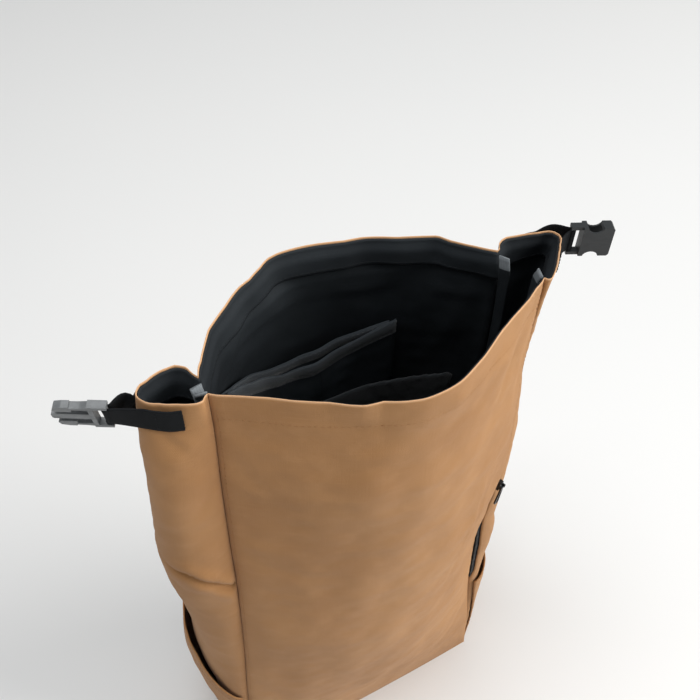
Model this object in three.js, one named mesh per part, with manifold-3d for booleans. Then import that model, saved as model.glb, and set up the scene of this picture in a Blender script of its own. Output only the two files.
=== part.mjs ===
// A rolltop backpack, standing open: a tan cloth shell of four panels and a base, a black lining,
// pockets inside and on both sides, a zipper in the front right corner seam, a side-release buckle
// on two webbing loops at the mouth, a back pad and two shoulder straps.
// Millimetres, +Z up. The origin is the middle of the base's underside, and the front faces -Y.
import * as THREE from 'three';
import { mergeVertices } from 'three/addons/utils/BufferGeometryUtils.js';
import Module from 'manifold-3d';

const wasm = await Module();
wasm.setup();

// Overall sizes
const bagHeight = 600;
const baseWidth = 276;
const baseDepth = 116;
const halfWidth = baseWidth / 2;
const halfDepth = baseDepth / 2;

// Cloth
const gap = 0.3;
const clothStand = 0.75;
const shellWall = 1.6;
const liningWall = 1;
const facingWall = 1;
const baseWall = 3;
const hemDepth = 25;
const bindingWidth = 8;
const bindingWall = 1.6;

// Pockets inside, on the back wall
const pocketStand = 0.85;
const pocketSlack = 7;
const tabletWall = 1.5;
const tabletFoot = 288;
const tabletEdges = [0.27, 0.9];
const slipWall = 1.2;
const slipFoot = 272;
const slipEdges = [0.25, 0.88];
const laptopWall = 4;
const laptopTop = 450;
const laptopEdges = [0.06, 0.94];

// Side pockets
const pocketLow = 155;
const pocketHigh = 262;
const pocketBelly = 9;
const pocketSeam = 5;

// Zipper
const zipFoot = 162;
const zipLength = 188;
const zipWidth = 6;
const zipTapeWall = 1;
const sliderLength = 11;
const sliderWidth = 7.5;
const sliderHeight = 3.4;
const pullerLength = 27;
const pullerWidth = 6.5;
const pullerWall = 1.6;
const pullerPin = 1.2;

// Webbing and the side-release buckle
const webWidth = 20;
const webWall = 1.5;
const webTopDrop = 1;
const buckleWidth = 27;
const maleLength = 37;
const maleThick = 6;
const maleLean = 12;
const femaleLength = 33;
const femaleThick = 10;
const femaleLean = 0;
const barThick = 2.8;
const slotLength = 6.4;

// Back pad, shoulder straps and haul loop
const padWall = 8;
const padFoot = 36;
const padTop = 379;
const strapClear = 8;
const strapWidth = 62;
const strapThick = 9;
const strapWebWidth = 25;
const strapWebWall = 1.5;
const adjusterThick = 3;
const haulWidth = 25;
const haulWall = 2.4;

// Corner seams. z is a share of the height, x a share of half the width, y a share of half the depth.
const leftSeamRows = [
  { z: 0.0, x: -1.0, frontY: -1.0, backY: 1.0 },
  { z: 0.1, x: -1.0, frontY: -0.98, backY: 1.0 },
  { z: 0.28, x: -0.98, frontY: -0.95, backY: 0.98 },
  { z: 0.41, x: -0.95, frontY: -0.91, backY: 0.86 },
  { z: 0.48, x: -0.94, frontY: -0.9, backY: 0.72 },
  { z: 0.55, x: -0.93, frontY: -0.88, backY: 0.52 },
  { z: 0.62, x: -0.92, frontY: -0.84, backY: 0.21 },
  { z: 0.73, x: -0.91, frontY: -0.76, backY: -0.03 },
  { z: 0.83, x: -0.9, frontY: -0.71, backY: -0.17 },
  { z: 0.93, x: -0.885, frontY: -0.66, backY: -0.26 },
  { z: 1.0, x: -0.888, frontY: -0.64, backY: -0.27 },
];
const rightSeamRows = [
  { z: 0.0, frontX: 1.0, frontY: -1.0, backX: 1.0, backY: 1.0 },
  { z: 0.1, frontX: 0.985, frontY: -0.985, backX: 1.0, backY: 1.0 },
  { z: 0.28, frontX: 0.9, frontY: -0.94, backX: 1.0, backY: 0.98 },
  { z: 0.41, frontX: 0.87, frontY: -0.915, backX: 0.99, backY: 0.9 },
  { z: 0.48, frontX: 0.87, frontY: -0.91, backX: 0.985, backY: 0.79 },
  { z: 0.55, frontX: 0.915, frontY: -0.9, backX: 0.98, backY: 0.62 },
  { z: 0.62, frontX: 0.985, frontY: -0.88, backX: 0.97, backY: 0.38 },
  { z: 0.73, frontX: 0.975, frontY: -0.86, backX: 0.95, backY: 0.14 },
  { z: 0.83, frontX: 0.95, frontY: -0.85, backX: 0.915, backY: 0.0 },
  { z: 0.93, frontX: 0.955, frontY: -0.83, backX: 0.885, backY: -0.06 },
  { z: 1.0, frontX: 0.95, frontY: -0.83, backX: 0.865, backY: -0.07 },
];

// Panels between the seams. Each is a cubic curve; out is how far a handle stands off the straight
// line between the two seams, a share of half the depth, and over is how far it reaches past its
// seam, a share of half the width on the front and back and of half the depth on the sides.
const frontRows = [
  { z: 0.0, startOut: 0.06, startOver: -0.6, endOut: 0.06, endOver: -0.6 },
  { z: 0.1, startOut: 0.4, startOver: -0.55, endOut: 0.4, endOver: -0.55 },
  { z: 0.28, startOut: 0.9, startOver: -0.5, endOut: 0.9, endOver: -0.5 },
  { z: 0.48, startOut: 1.2, startOver: -0.5, endOut: 1.2, endOver: -0.5 },
  { z: 0.62, startOut: 1.25, startOver: -0.55, endOut: 1.25, endOver: -0.55 },
  { z: 0.73, startOut: 1.3, startOver: -0.62, endOut: 1.3, endOver: -0.62 },
  { z: 0.83, startOut: 1.36, startOver: -0.72, endOut: 1.36, endOver: -0.72 },
  { z: 0.93, startOut: 1.36, startOver: -0.86, endOut: 1.36, endOver: -0.86 },
  { z: 1.0, startOut: 1.38, startOver: -1.02, endOut: 1.36, endOver: -1.02 },
];
const rightRows = [
  { z: 0.0, startOut: 0.06, startOver: -0.5, endOut: 0.06, endOver: -0.5 },
  { z: 0.1, startOut: 0.3, startOver: -0.2, endOut: 0.25, endOver: -0.3 },
  { z: 0.28, startOut: 0.68, startOver: 0.05, endOut: 0.24, endOver: -0.28 },
  { z: 0.41, startOut: 0.89, startOver: 0.16, endOut: 0.29, endOver: -0.24 },
  { z: 0.48, startOut: 0.81, startOver: 0.12, endOut: 0.51, endOver: -0.12 },
  { z: 0.55, startOut: 0.65, startOver: -0.02, endOut: 0.84, endOver: 0.1 },
  { z: 0.62, startOut: 0.46, startOver: -0.21, endOut: 1.17, endOver: 0.34 },
  { z: 0.73, startOut: 0.42, startOver: -0.25, endOut: 1.39, endOver: 0.43 },
  { z: 0.83, startOut: 0.22, startOver: -0.33, endOut: 1.62, endOver: 0.41 },
  { z: 0.93, startOut: 0.17, startOver: 0.02, endOut: 1.74, endOver: 0.16 },
  { z: 1.0, startOut: 0.08, startOver: 0.35, endOut: 1.7, endOver: -0.14 },
];
const backRows = [
  { z: 0.0, startOut: 0.06, startOver: -0.6, endOut: 0.06, endOver: -0.6 },
  { z: 0.1, startOut: 0.3, startOver: -0.5, endOut: 0.3, endOver: -0.5 },
  { z: 0.28, startOut: 0.55, startOver: -0.5, endOut: 0.55, endOver: -0.5 },
  { z: 0.48, startOut: 0.85, startOver: -0.5, endOut: 0.9, endOver: -0.5 },
  { z: 0.62, startOut: 1.2, startOver: -0.5, endOut: 1.3, endOver: -0.45 },
  { z: 0.73, startOut: 1.35, startOver: -0.5, endOut: 1.55, endOver: -0.42 },
  { z: 0.83, startOut: 1.5, startOver: -0.57, endOut: 1.7, endOver: -0.46 },
  { z: 1.0, startOut: 1.66, startOver: -0.66, endOut: 1.72, endOver: -0.49 },
];
const leftRows = [
  { z: 0.0, startOut: 0.06, startOver: -0.5, endOut: 0.06, endOver: -0.5 },
  { z: 0.1, startOut: 0.25, startOver: -0.3, endOut: 0.25, endOver: -0.3 },
  { z: 0.28, startOut: 0.55, startOver: -0.1, endOut: 0.55, endOver: -0.1 },
  { z: 0.41, startOut: 0.7, startOver: -0.06, endOut: 0.7, endOver: -0.06 },
  { z: 0.48, startOut: 0.82, startOver: -0.02, endOut: 0.82, endOver: -0.01 },
  { z: 0.55, startOut: 0.95, startOver: 0.08, endOut: 0.94, endOver: 0.07 },
  { z: 0.62, startOut: 1.1, startOver: 0.26, endOut: 1.09, endOver: 0.15 },
  { z: 0.73, startOut: 1.11, startOver: 0.43, endOut: 1.12, endOver: 0.36 },
  { z: 0.83, startOut: 1.07, startOver: 0.57, endOut: 1.08, endOver: 0.5 },
  { z: 0.93, startOut: 0.95, startOver: 0.68, endOut: 1.13, endOver: 0.4 },
  { z: 1.0, startOut: 0.5, startOver: 0.7, endOut: 1.25, endOver: 0.1 },
];

// Folds pressed into the cloth. z and rise are shares of the height, along and spread of the
// panel's width, and depth is a share of half the depth of the base.
const folds = [
  { side: 'left', z: 0.632, rise: 0.018, along: 0.72, spread: 0.34, depth: 0.12 },
  { side: 'right', z: 0.62, rise: 0.02, along: 0.55, spread: 0.3, depth: 0.05 },
  { side: 'front', z: 0.45, rise: 0.05, along: 0.9, spread: 0.06, depth: 0.04 },
];

// Heights where the walls have a row of facets, as shares of the height
const wallLevels = [0, 0.06, 0.16, 0.28, 0.38, 0.48, 0.57, 0.61, 0.632, 0.656, 0.73, 0.82, 0.91, 1];
const facets = { front: 12, right: 10, back: 12, left: 10 };
const wallFoot = (baseWall + gap) / bagHeight;
const wallShares = wallLevels.map((level) => Math.max(level, wallFoot));

// A value of each column at height share z, on a smooth curve through the rows.
function rowAt(rows, z) {
  let i = 0;
  while (i < rows.length - 2 && rows[i + 1].z < z) i += 1;
  const a = rows[i];
  const b = rows[i + 1];
  const before = rows[Math.max(i - 1, 0)];
  const after = rows[Math.min(i + 2, rows.length - 1)];
  const step = b.z - a.z;
  const t = THREE.MathUtils.clamp((z - a.z) / step, 0, 1);
  const out = {};
  for (const key of Object.keys(a)) {
    const slopeA = ((b[key] - before[key]) / (b.z - before.z)) * step;
    const slopeB = ((after[key] - a[key]) / (after.z - a.z)) * step;
    const h1 = 2 * t ** 3 - 3 * t ** 2 + 1;
    const h2 = t ** 3 - 2 * t ** 2 + t;
    const h3 = -2 * t ** 3 + 3 * t ** 2;
    const h4 = t ** 3 - t ** 2;
    out[key] = h1 * a[key] + h2 * slopeA + h3 * b[key] + h4 * slopeB;
  }
  return out;
}

function cornersAt(z) {
  const left = rowAt(leftSeamRows, z);
  const right = rowAt(rightSeamRows, z);
  const place = (x, y) => new THREE.Vector2(x * halfWidth, y * halfDepth);
  return {
    frontLeft: place(left.x, left.frontY),
    frontRight: place(right.frontX, right.frontY),
    backRight: place(right.backX, right.backY),
    backLeft: place(left.x, left.backY),
  };
}

const sides = {
  front: {
    rows: frontRows,
    start: 'frontLeft',
    end: 'frontRight',
    overScale: halfWidth,
    before: 'left',
    after: 'right',
  },
  right: {
    rows: rightRows,
    start: 'frontRight',
    end: 'backRight',
    overScale: halfDepth,
    before: 'front',
    after: 'back',
  },
  back: {
    rows: backRows,
    start: 'backRight',
    end: 'backLeft',
    overScale: halfWidth,
    before: 'right',
    after: 'left',
  },
  left: {
    rows: leftRows,
    start: 'backLeft',
    end: 'frontLeft',
    overScale: halfDepth,
    before: 'back',
    after: 'front',
  },
};

const outwardOf = (direction) => new THREE.Vector2(direction.y, -direction.x).normalize();

// The line of one panel at height share z: points with their distance along the cloth.
const curveSteps = 40;
const curveCache = new Map();
function sideCurve(name, z) {
  const key = `${name} ${z.toFixed(5)}`;
  if (curveCache.has(key)) return curveCache.get(key);
  const side = sides[name];
  const corners = cornersAt(z);
  const start = corners[side.start];
  const end = corners[side.end];
  const row = rowAt(side.rows, z);
  const along = end.clone().sub(start).normalize();
  const outward = outwardOf(along);
  const startHandle = start.clone();
  startHandle.addScaledVector(outward, row.startOut * halfDepth);
  startHandle.addScaledVector(along, -row.startOver * side.overScale);
  const endHandle = end.clone();
  endHandle.addScaledVector(outward, row.endOut * halfDepth);
  endHandle.addScaledVector(along, row.endOver * side.overScale);
  const curve = new THREE.CubicBezierCurve(start, startHandle, endHandle, end);
  const points = curve.getPoints(curveSteps);
  const distances = [0];
  for (let i = 1; i < points.length; i += 1) {
    distances.push(distances[i - 1] + points[i].distanceTo(points[i - 1]));
  }
  const result = { points, distances, length: distances[curveSteps] };
  curveCache.set(key, result);
  return result;
}

function foldDepth(name, z, share) {
  let depth = 0;
  for (const fold of folds) {
    if (fold.side === name) {
      const seam = Math.min(1, share / 0.15, (1 - share) / 0.15);
      const up = (z - fold.z) / fold.rise;
      const across = (share - fold.along) / fold.spread;
      depth += seam * fold.depth * halfDepth * Math.exp(-up * up - across * across);
    }
  }
  return depth;
}

// The tilt that both panels of a corner share, so that their edges meet on one line.
function cornerNormal(first, second, z) {
  const a = sideCurve(first, z).points;
  const b = sideCurve(second, z).points;
  const normalA = outwardOf(a[curveSteps].clone().sub(a[curveSteps - 1]));
  const normalB = outwardOf(b[1].clone().sub(b[0]));
  const sum = normalA.clone().add(normalB);
  return sum.divideScalar(Math.max(1 + normalA.dot(normalB), 0.35));
}

// A point on a panel: share 0 to 1 along the cloth, and an inset towards the inside of the bag.
// Within edge of a corner seam the inset leans along the seam's own line.
function panelPoint(name, z, share, inset, seamEdge = true) {
  const { points, distances, length } = sideCurve(name, z);
  const distance = THREE.MathUtils.clamp(share, 0, 1) * length;
  let i = 1;
  while (i < curveSteps && distances[i] < distance) i += 1;
  const t = (distance - distances[i - 1]) / (distances[i] - distances[i - 1]);
  const point = points[i - 1].clone().lerp(points[i], t);
  let normal = outwardOf(points[i].clone().sub(points[i - 1]));
  const nearStart = distance < 2 * gap;
  const nearEnd = length - distance < 2 * gap;
  if (seamEdge && nearStart) normal = cornerNormal(sides[name].before, name, z);
  if (seamEdge && nearEnd) normal = cornerNormal(name, sides[name].after, z);
  point.addScaledVector(normal, -inset - foldDepth(name, z, share));
  return new THREE.Vector3(point.x, point.y, z * bagHeight);
}

// The same point on the wall's flat facets, where every piece that lies on a wall is placed.
function onWall(name, z, share, inset) {
  const columns = facets[name];
  let i = 0;
  while (i < wallShares.length - 2 && wallShares[i + 1] < z) i += 1;
  const t = THREE.MathUtils.clamp((z - wallShares[i]) / (wallShares[i + 1] - wallShares[i]), 0, 1);
  const j = Math.min(Math.floor(share * columns + 1e-9), columns - 1);
  const s = share * columns - j;
  const facetCorner = (a, b) => panelPoint(name, wallShares[a], b / columns, inset);
  const near = facetCorner(i, j);
  const far = facetCorner(i + 1, j + 1);
  const side = s > t ? facetCorner(i, j + 1) : facetCorner(i + 1, j);
  const [first, second] = s > t ? [s, t] : [t, s];
  far.sub(side).multiplyScalar(second);
  return side.sub(near).multiplyScalar(first).add(near).add(far);
}

// Shares along a panel between two edges: the edges and every facet line between them.
function facetShares(name, from, to) {
  const shares = [from];
  for (let c = 1; c < facets[name]; c += 1) {
    const share = c / facets[name];
    if (share > from + 0.01 && share < to - 0.01) shares.push(share);
  }
  shares.push(to);
  return shares;
}

// Height shares between two heights: the two and every facet line between them.
function levelsBetween(from, to) {
  return [from, ...wallShares.filter((level) => level > from + 0.008 && level < to - 0.008), to];
}

// Solids from rows of points
function geometryOf(points, triangles) {
  const positions = [];
  for (const p of points) positions.push(p.x, p.y, p.z);
  const geometry = new THREE.BufferGeometry();
  geometry.setAttribute('position', new THREE.Float32BufferAttribute(positions, 3));
  geometry.setIndex(turnedOut(points, triangles));
  geometry.computeVertexNormals();
  return geometry;
}

function turnedOut(points, triangles) {
  let volume = 0;
  for (let i = 0; i < triangles.length; i += 3) {
    const [a, b, c] = [points[triangles[i]], points[triangles[i + 1]], points[triangles[i + 2]]];
    volume += a.dot(b.clone().cross(c));
  }
  if (volume > 0) return triangles;
  const turned = [];
  for (let i = 0; i < triangles.length; i += 3) {
    turned.push(triangles[i], triangles[i + 2], triangles[i + 1]);
  }
  return turned;
}

function quad(triangles, a, b, c, d) {
  triangles.push(a, b, c, a, c, d);
}

// A sheet with two faces, each a grid of rows of points, closed around its four edges.
function sheetSolid(outerRows, innerRows) {
  const rows = outerRows.length;
  const columns = outerRows[0].length;
  const points = [...outerRows.flat(), ...innerRows.flat()];
  const outer = (r, c) => r * columns + c;
  const inner = (r, c) => rows * columns + r * columns + c;
  const triangles = [];
  for (let r = 0; r < rows - 1; r += 1) {
    for (let c = 0; c < columns - 1; c += 1) {
      quad(triangles, outer(r, c), outer(r, c + 1), outer(r + 1, c + 1), outer(r + 1, c));
      quad(triangles, inner(r, c), inner(r + 1, c), inner(r + 1, c + 1), inner(r, c + 1));
    }
  }
  for (let c = 0; c < columns - 1; c += 1) {
    quad(triangles, outer(0, c + 1), outer(0, c), inner(0, c), inner(0, c + 1));
    quad(triangles, outer(rows - 1, c), outer(rows - 1, c + 1), inner(rows - 1, c + 1), inner(rows - 1, c));
  }
  const end = columns - 1;
  for (let r = 0; r < rows - 1; r += 1) {
    quad(triangles, outer(r, 0), outer(r + 1, 0), inner(r + 1, 0), inner(r, 0));
    quad(triangles, outer(r + 1, end), outer(r, end), inner(r, end), inner(r + 1, end));
  }
  return geometryOf(points, triangles);
}

// A loop of cloth around the bag, open at the top; with a floor it is a liner, else a band.
function loopSolid(outerRows, innerRows, floor) {
  const rows = outerRows.length;
  const columns = outerRows[0].length;
  const points = [...outerRows.flat(), ...innerRows.flat()];
  const outer = (r, c) => r * columns + (c % columns);
  const inner = (r, c) => rows * columns + r * columns + (c % columns);
  const triangles = [];
  for (let c = 0; c < columns; c += 1) {
    for (let r = 0; r < rows - 1; r += 1) {
      quad(triangles, outer(r, c), outer(r, c + 1), outer(r + 1, c + 1), outer(r + 1, c));
      quad(triangles, inner(r, c), inner(r + 1, c), inner(r + 1, c + 1), inner(r, c + 1));
    }
    quad(triangles, outer(rows - 1, c), outer(rows - 1, c + 1), inner(rows - 1, c + 1), inner(rows - 1, c));
    if (!floor) quad(triangles, outer(0, c + 1), outer(0, c), inner(0, c), inner(0, c + 1));
  }
  if (floor) {
    const middle = points.length;
    points.push(new THREE.Vector3(0, 0, outerRows[0][0].z));
    points.push(new THREE.Vector3(0, 0, innerRows[0][0].z));
    for (let c = 0; c < columns; c += 1) {
      triangles.push(middle, outer(0, c + 1), outer(0, c));
      triangles.push(middle + 1, inner(0, c), inner(0, c + 1));
    }
  }
  return geometryOf(points, triangles);
}

// A bar of one cross-section, given by its outline in the two directions across its path.
function sweptSolid(path, acrossAt, outline) {
  const rings = path.map((point, i) => {
    const before = path[Math.max(i - 1, 0)];
    const after = path[Math.min(i + 1, path.length - 1)];
    const forward = after.clone().sub(before).normalize();
    const across = acrossAt(i, forward);
    across.addScaledVector(forward, -across.dot(forward)).normalize();
    const up = new THREE.Vector3().crossVectors(forward, across);
    return outline(i).map(([a, b]) => point.clone().addScaledVector(across, a).addScaledVector(up, b));
  });
  const columns = rings[0].length;
  const points = rings.flat();
  const triangles = [];
  for (let r = 0; r < rings.length - 1; r += 1) {
    for (let c = 0; c < columns; c += 1) {
      const d = (c + 1) % columns;
      quad(triangles, r * columns + c, r * columns + d, (r + 1) * columns + d, (r + 1) * columns + c);
    }
  }
  const last = (rings.length - 1) * columns;
  for (let c = 1; c < columns - 1; c += 1) {
    triangles.push(0, c + 1, c);
    triangles.push(last, last + c, last + c + 1);
  }
  return geometryOf(points, triangles);
}

// The outline of a flat strip, from half its width and half its thickness
function stripOutline(half, thick) {
  return [[-half, -thick], [half, -thick], [half, thick], [-half, thick]];
}

// Joining and cutting
function manifoldOf(geometry) {
  const bare = geometry.clone();
  bare.deleteAttribute('normal');
  bare.deleteAttribute('uv');
  const merged = mergeVertices(bare, 1e-4);
  return new wasm.Manifold(new wasm.Mesh({
    numProp: 3,
    vertProperties: merged.attributes.position.array,
    triVerts: new Uint32Array(merged.index.array),
  }));
}

function geometryFrom(manifold) {
  const mesh = manifold.getMesh();
  const geometry = new THREE.BufferGeometry();
  geometry.setAttribute('position', new THREE.BufferAttribute(new Float32Array(mesh.vertProperties), 3));
  geometry.setIndex(Array.from(mesh.triVerts));
  geometry.computeVertexNormals();
  return geometry;
}

// A plate in the X-Z plane, centred on y = 0.
function plate(shape, thickness) {
  const geometry = new THREE.ExtrudeGeometry(shape, {
    depth: thickness,
    bevelEnabled: false,
    curveSegments: 6,
  });
  geometry.translate(0, 0, -thickness / 2);
  geometry.rotateX(Math.PI / 2);
  return geometry;
}

function outlineShape(points) {
  return new THREE.Shape(points.map(([x, y]) => new THREE.Vector2(x, y)));
}

function boxAt(lengthX, lengthY, lengthZ, x, y, z) {
  const geometry = new THREE.BoxGeometry(lengthX, lengthY, lengthZ);
  geometry.translate(x, y, z);
  return geometry;
}

// Colours and finishes
const looks = {
  canvas: new THREE.MeshStandardMaterial({ color: 0x9e7757, roughness: 0.9, metalness: 0 }),
  lining: new THREE.MeshStandardMaterial({ color: 0x202428, roughness: 0.75, metalness: 0 }),
  webbing: new THREE.MeshStandardMaterial({ color: 0x1b1d20, roughness: 0.8, metalness: 0 }),
  binding: new THREE.MeshStandardMaterial({ color: 0x6f7478, roughness: 0.8, metalness: 0 }),
  plastic: new THREE.MeshStandardMaterial({ color: 0x3d4042, roughness: 0.5, metalness: 0 }),
  metal: new THREE.MeshStandardMaterial({ color: 0x2a2c2f, roughness: 0.35, metalness: 0.9 }),
};

const group = new THREE.Group();
function add(name, geometry, look, parent = group) {
  const mesh = new THREE.Mesh(geometry, look);
  mesh.name = name;
  parent.add(mesh);
  return mesh;
}

// The zipper's opening, in the right gusset's edge at the front right seam. up is a share of the
// zipper's length from its foot, and wide a share of its width.
const zipRows = [
  { up: 0.0, wide: 0.0 },
  { up: 0.12, wide: 0.85 },
  { up: 0.42, wide: 1.0 },
  { up: 0.68, wide: 0.6 },
  { up: 0.97, wide: 0.5 },
  { up: 1.0, wide: 0.0 },
];
const zipTop = zipFoot + zipLength;
function zipOpening(z) {
  const up = (z * bagHeight - zipFoot) / zipLength;
  if (up <= 0 || up >= 1) return 0;
  let i = 0;
  while (zipRows[i + 1].up < up) i += 1;
  const t = (up - zipRows[i].up) / (zipRows[i + 1].up - zipRows[i].up);
  return THREE.MathUtils.lerp(zipRows[i].wide, zipRows[i + 1].wide, t) * zipWidth;
}

// The four walls of the shell
function shellPanel(name, levels) {
  const outerRows = [];
  const innerRows = [];
  for (const z of levels) {
    const length = sideCurve(name, z).length;
    const opening = name === 'right' ? zipOpening(z) : 0;
    const shares = facetShares(name, gap / 2 / length, 1 - gap / 2 / length);
    shares[0] += opening / length;
    outerRows.push(shares.map((share) => onWall(name, z, share, 0)));
    innerRows.push(shares.map((share) => onWall(name, z, share, shellWall)));
  }
  return sheetSolid(outerRows, innerRows);
}

const zipShares = zipRows.map((row) => (zipFoot + row.up * zipLength) / bagHeight);
const rightLevels = [...wallShares, ...zipShares].sort((a, b) => a - b);
add('front_panel', shellPanel('front', wallShares), looks.canvas);
add('right_gusset', shellPanel('right', rightLevels), looks.canvas);
add('back_panel', shellPanel('back', wallShares), looks.canvas);
add('left_gusset', shellPanel('left', wallShares), looks.canvas);

// Points all around the bag at one height, inset from the outside of the cloth
function ringAt(z, inset) {
  const points = [];
  for (const name of ['front', 'right', 'back', 'left']) {
    for (let c = 0; c < facets[name]; c += 1) points.push(onWall(name, z, c / facets[name], inset));
  }
  return points;
}

function basePanel() {
  const ring = ringAt(0, 0).map((point) => new THREE.Vector2(point.x, point.y));
  return new THREE.ExtrudeGeometry(new THREE.Shape(ring), { depth: baseWall, bevelEnabled: false });
}
add('base_panel', basePanel(), looks.canvas);

// Lining, mouth facing and the bound corner seams
const liningOuter = shellWall + clothStand;
const liningInner = liningOuter + liningWall;
const facingOuter = liningInner + clothStand + 0.1;
const facingInner = facingOuter + facingWall;

function lining() {
  const outerRows = wallShares.map((level) => ringAt(level, liningOuter));
  const innerRows = wallShares.map((level) => {
    const ring = ringAt(level, liningInner);
    if (level === wallFoot) for (const point of ring) point.z += liningWall;
    return ring;
  });
  return loopSolid(outerRows, innerRows, true);
}
add('lining', lining(), looks.lining);

function mouthFacing() {
  const levels = [1 - hemDepth / bagHeight, 1];
  const outerRows = levels.map((z) => ringAt(z, facingOuter));
  const innerRows = levels.map((z) => ringAt(z, facingInner));
  return loopSolid(outerRows, innerRows, false);
}
add('mouth_facing', mouthFacing(), looks.lining);

// Each bound seam edge stands into the bag. mouthAngle is where it points at the mouth, in degrees
// from +X; lower down it points square away from the seam. root is how far it starts outside its line.
const seamRows = [
  { name: 'seam_binding_front_left', first: 'left', second: 'front', mouthAngle: 172, root: 0 },
  { name: 'seam_binding_front_right', first: 'front', second: 'right', mouthAngle: 76, root: 0.9 },
  { name: 'seam_binding_back_right', first: 'right', second: 'back', mouthAngle: -61, root: 0 },
  { name: 'seam_binding_back_left', first: 'back', second: 'left', mouthAngle: 187, root: 0 },
];
const bindingInset = facingInner + gap + bindingWall / 2;
function seamBinding({ first, second, mouthAngle, root }) {
  const levels = levelsBetween(0.02, 0.998);
  const faces = [[], []];
  const mouth = THREE.MathUtils.degToRad(mouthAngle);
  const mouthWay = new THREE.Vector2(Math.cos(mouth), Math.sin(mouth));
  for (const z of levels) {
    const inward = cornerNormal(first, second, z).negate().normalize();
    const direction = inward.lerp(mouthWay, THREE.MathUtils.smoothstep(z, 0.66, 0.95)).normalize();
    const seam = onWall(second, z, 0, bindingInset);
    const across = new THREE.Vector2(-direction.y, direction.x);
    for (const [face, edge] of [[0, bindingWall / 2], [1, -bindingWall / 2]]) {
      faces[face].push([-root, bindingWidth].map((reach) => new THREE.Vector3(
        seam.x + direction.x * reach + across.x * edge,
        seam.y + direction.y * reach + across.y * edge,
        z * bagHeight,
      )));
    }
  }
  return sheetSolid(faces[0], faces[1]);
}
for (const seam of seamRows) add(seam.name, seamBinding(seam), looks.binding);

// A piece with everything cut away that comes nearer than the gap to the outside of a wall
function clearOfWall(geometry, name) {
  const shares = facetShares(name, 0, 1);
  const levels = name === 'right' ? rightLevels : wallShares;
  const rowOf = (level, inset) => shares.map((share) => onWall(name, level, share, inset));
  const face = (inset) => levels.map((level) => rowOf(level, inset));
  const keepOut = sheetSolid(face(-gap), face(shellWall));
  return geometryFrom(manifoldOf(geometry).subtract(manifoldOf(keepOut)));
}

// Pockets on the back wall. Their mouths are not level, so the top follows a few rows.
const tabletTopRows = [
  { z: 0, top: 0.853 },
  { z: 0.5, top: 0.826 },
  { z: 1, top: 0.897 },
];
const slipTopRows = [
  { z: 0, top: 0.858 },
  { z: 0.5, top: 0.818 },
  { z: 1, top: 0.894 },
];
function wallPocket({ edges, slackEdges, foot, topAt, wall, edgeInset, middleInset }) {
  const shares = facetShares('back', edges[0], edges[1]);
  const levels = levelsBetween(foot / bagHeight, topAt(0.5) / bagHeight);
  const outerRows = [];
  const innerRows = [];
  for (const level of levels) {
    const rise = (level * bagHeight - foot) / (topAt(0.5) - foot);
    const outerRow = [];
    const innerRow = [];
    for (const share of shares) {
      const across = (share - edges[0]) / (edges[1] - edges[0]);
      const z = foot + (topAt(across) - foot) * rise;
      const span = THREE.MathUtils.clamp((share - slackEdges[0]) / (slackEdges[1] - slackEdges[0]), 0, 1);
      const slack = Math.max(Math.sin(Math.PI * span), 0) ** 0.7 * Math.sin((Math.PI / 2) * rise) ** 0.6;
      const inset = edgeInset + (middleInset - edgeInset) * slack;
      outerRow.push(onWall('back', z / bagHeight, share, inset));
      innerRow.push(onWall('back', z / bagHeight, share, inset + wall));
    }
    outerRows.push(outerRow);
    innerRows.push(innerRow);
  }
  return sheetSolid(outerRows, innerRows);
}
const tabletEdge = liningInner + pocketStand;
const tabletMiddle = tabletEdge + pocketSlack;
const slipEdge = tabletEdge + tabletWall + pocketStand;
const slipMiddle = tabletMiddle + tabletWall + pocketSlack;
const laptopEdge = slipEdge + slipWall + pocketStand;
const laptopMiddle = slipMiddle + slipWall + pocketSlack;
add('tablet_sleeve', wallPocket({
  edges: tabletEdges,
  slackEdges: [slipEdges[0], tabletEdges[1]],
  foot: tabletFoot,
  topAt: (across) => rowAt(tabletTopRows, across).top * bagHeight,
  wall: tabletWall,
  edgeInset: tabletEdge,
  middleInset: tabletMiddle,
}), looks.lining);
add('slip_pocket', wallPocket({
  edges: slipEdges,
  slackEdges: [slipEdges[0], tabletEdges[1]],
  foot: slipFoot,
  topAt: (across) => rowAt(slipTopRows, across).top * bagHeight,
  wall: slipWall,
  edgeInset: slipEdge,
  middleInset: slipMiddle,
}), looks.lining);
add('laptop_sleeve', wallPocket({
  edges: laptopEdges,
  slackEdges: laptopEdges,
  foot: baseWall + liningWall + 3 * gap,
  topAt: () => laptopTop,
  wall: laptopWall,
  edgeInset: laptopEdge,
  middleInset: laptopMiddle,
}), looks.lining);

// Side pockets with a slanted mouth, low at the front seam and high at the back one
function sidePocket(name, frontFirst) {
  const foot = baseWall + gap;
  const outerRows = [];
  const innerRows = [];
  for (const level of levelsBetween(foot / bagHeight, pocketLow / bagHeight).concat([1.2, 1.5])) {
    const outerRow = [];
    const innerRow = [];
    const seam = pocketSeam / sideCurve(name, level > 1 ? pocketLow / bagHeight : level).length;
    for (const share of facetShares(name, seam, 1 - seam)) {
      const across = (share - seam) / (1 - 2 * seam);
      const fromFront = frontFirst ? across : 1 - across;
      const slant = (pocketHigh - pocketLow) * fromFront + 3;
      const z = level > 1 ? pocketLow + slant * (level - 1) * 2 : level * bagHeight;
      const open = Math.sin((Math.PI / 2) * (z - foot) / (pocketLow + slant - foot));
      const belly = pocketBelly * Math.max(Math.sin(Math.PI * across), 0) ** 0.8 * open;
      outerRow.push(onWall(name, z / bagHeight, share, -pocketStand - belly - shellWall));
      innerRow.push(onWall(name, z / bagHeight, share, -pocketStand - belly));
    }
    outerRows.push(outerRow);
    innerRows.push(innerRow);
  }
  return clearOfWall(sheetSolid(outerRows, innerRows), name);
}
add('left_side_pocket', sidePocket('left', false), looks.canvas);
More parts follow.
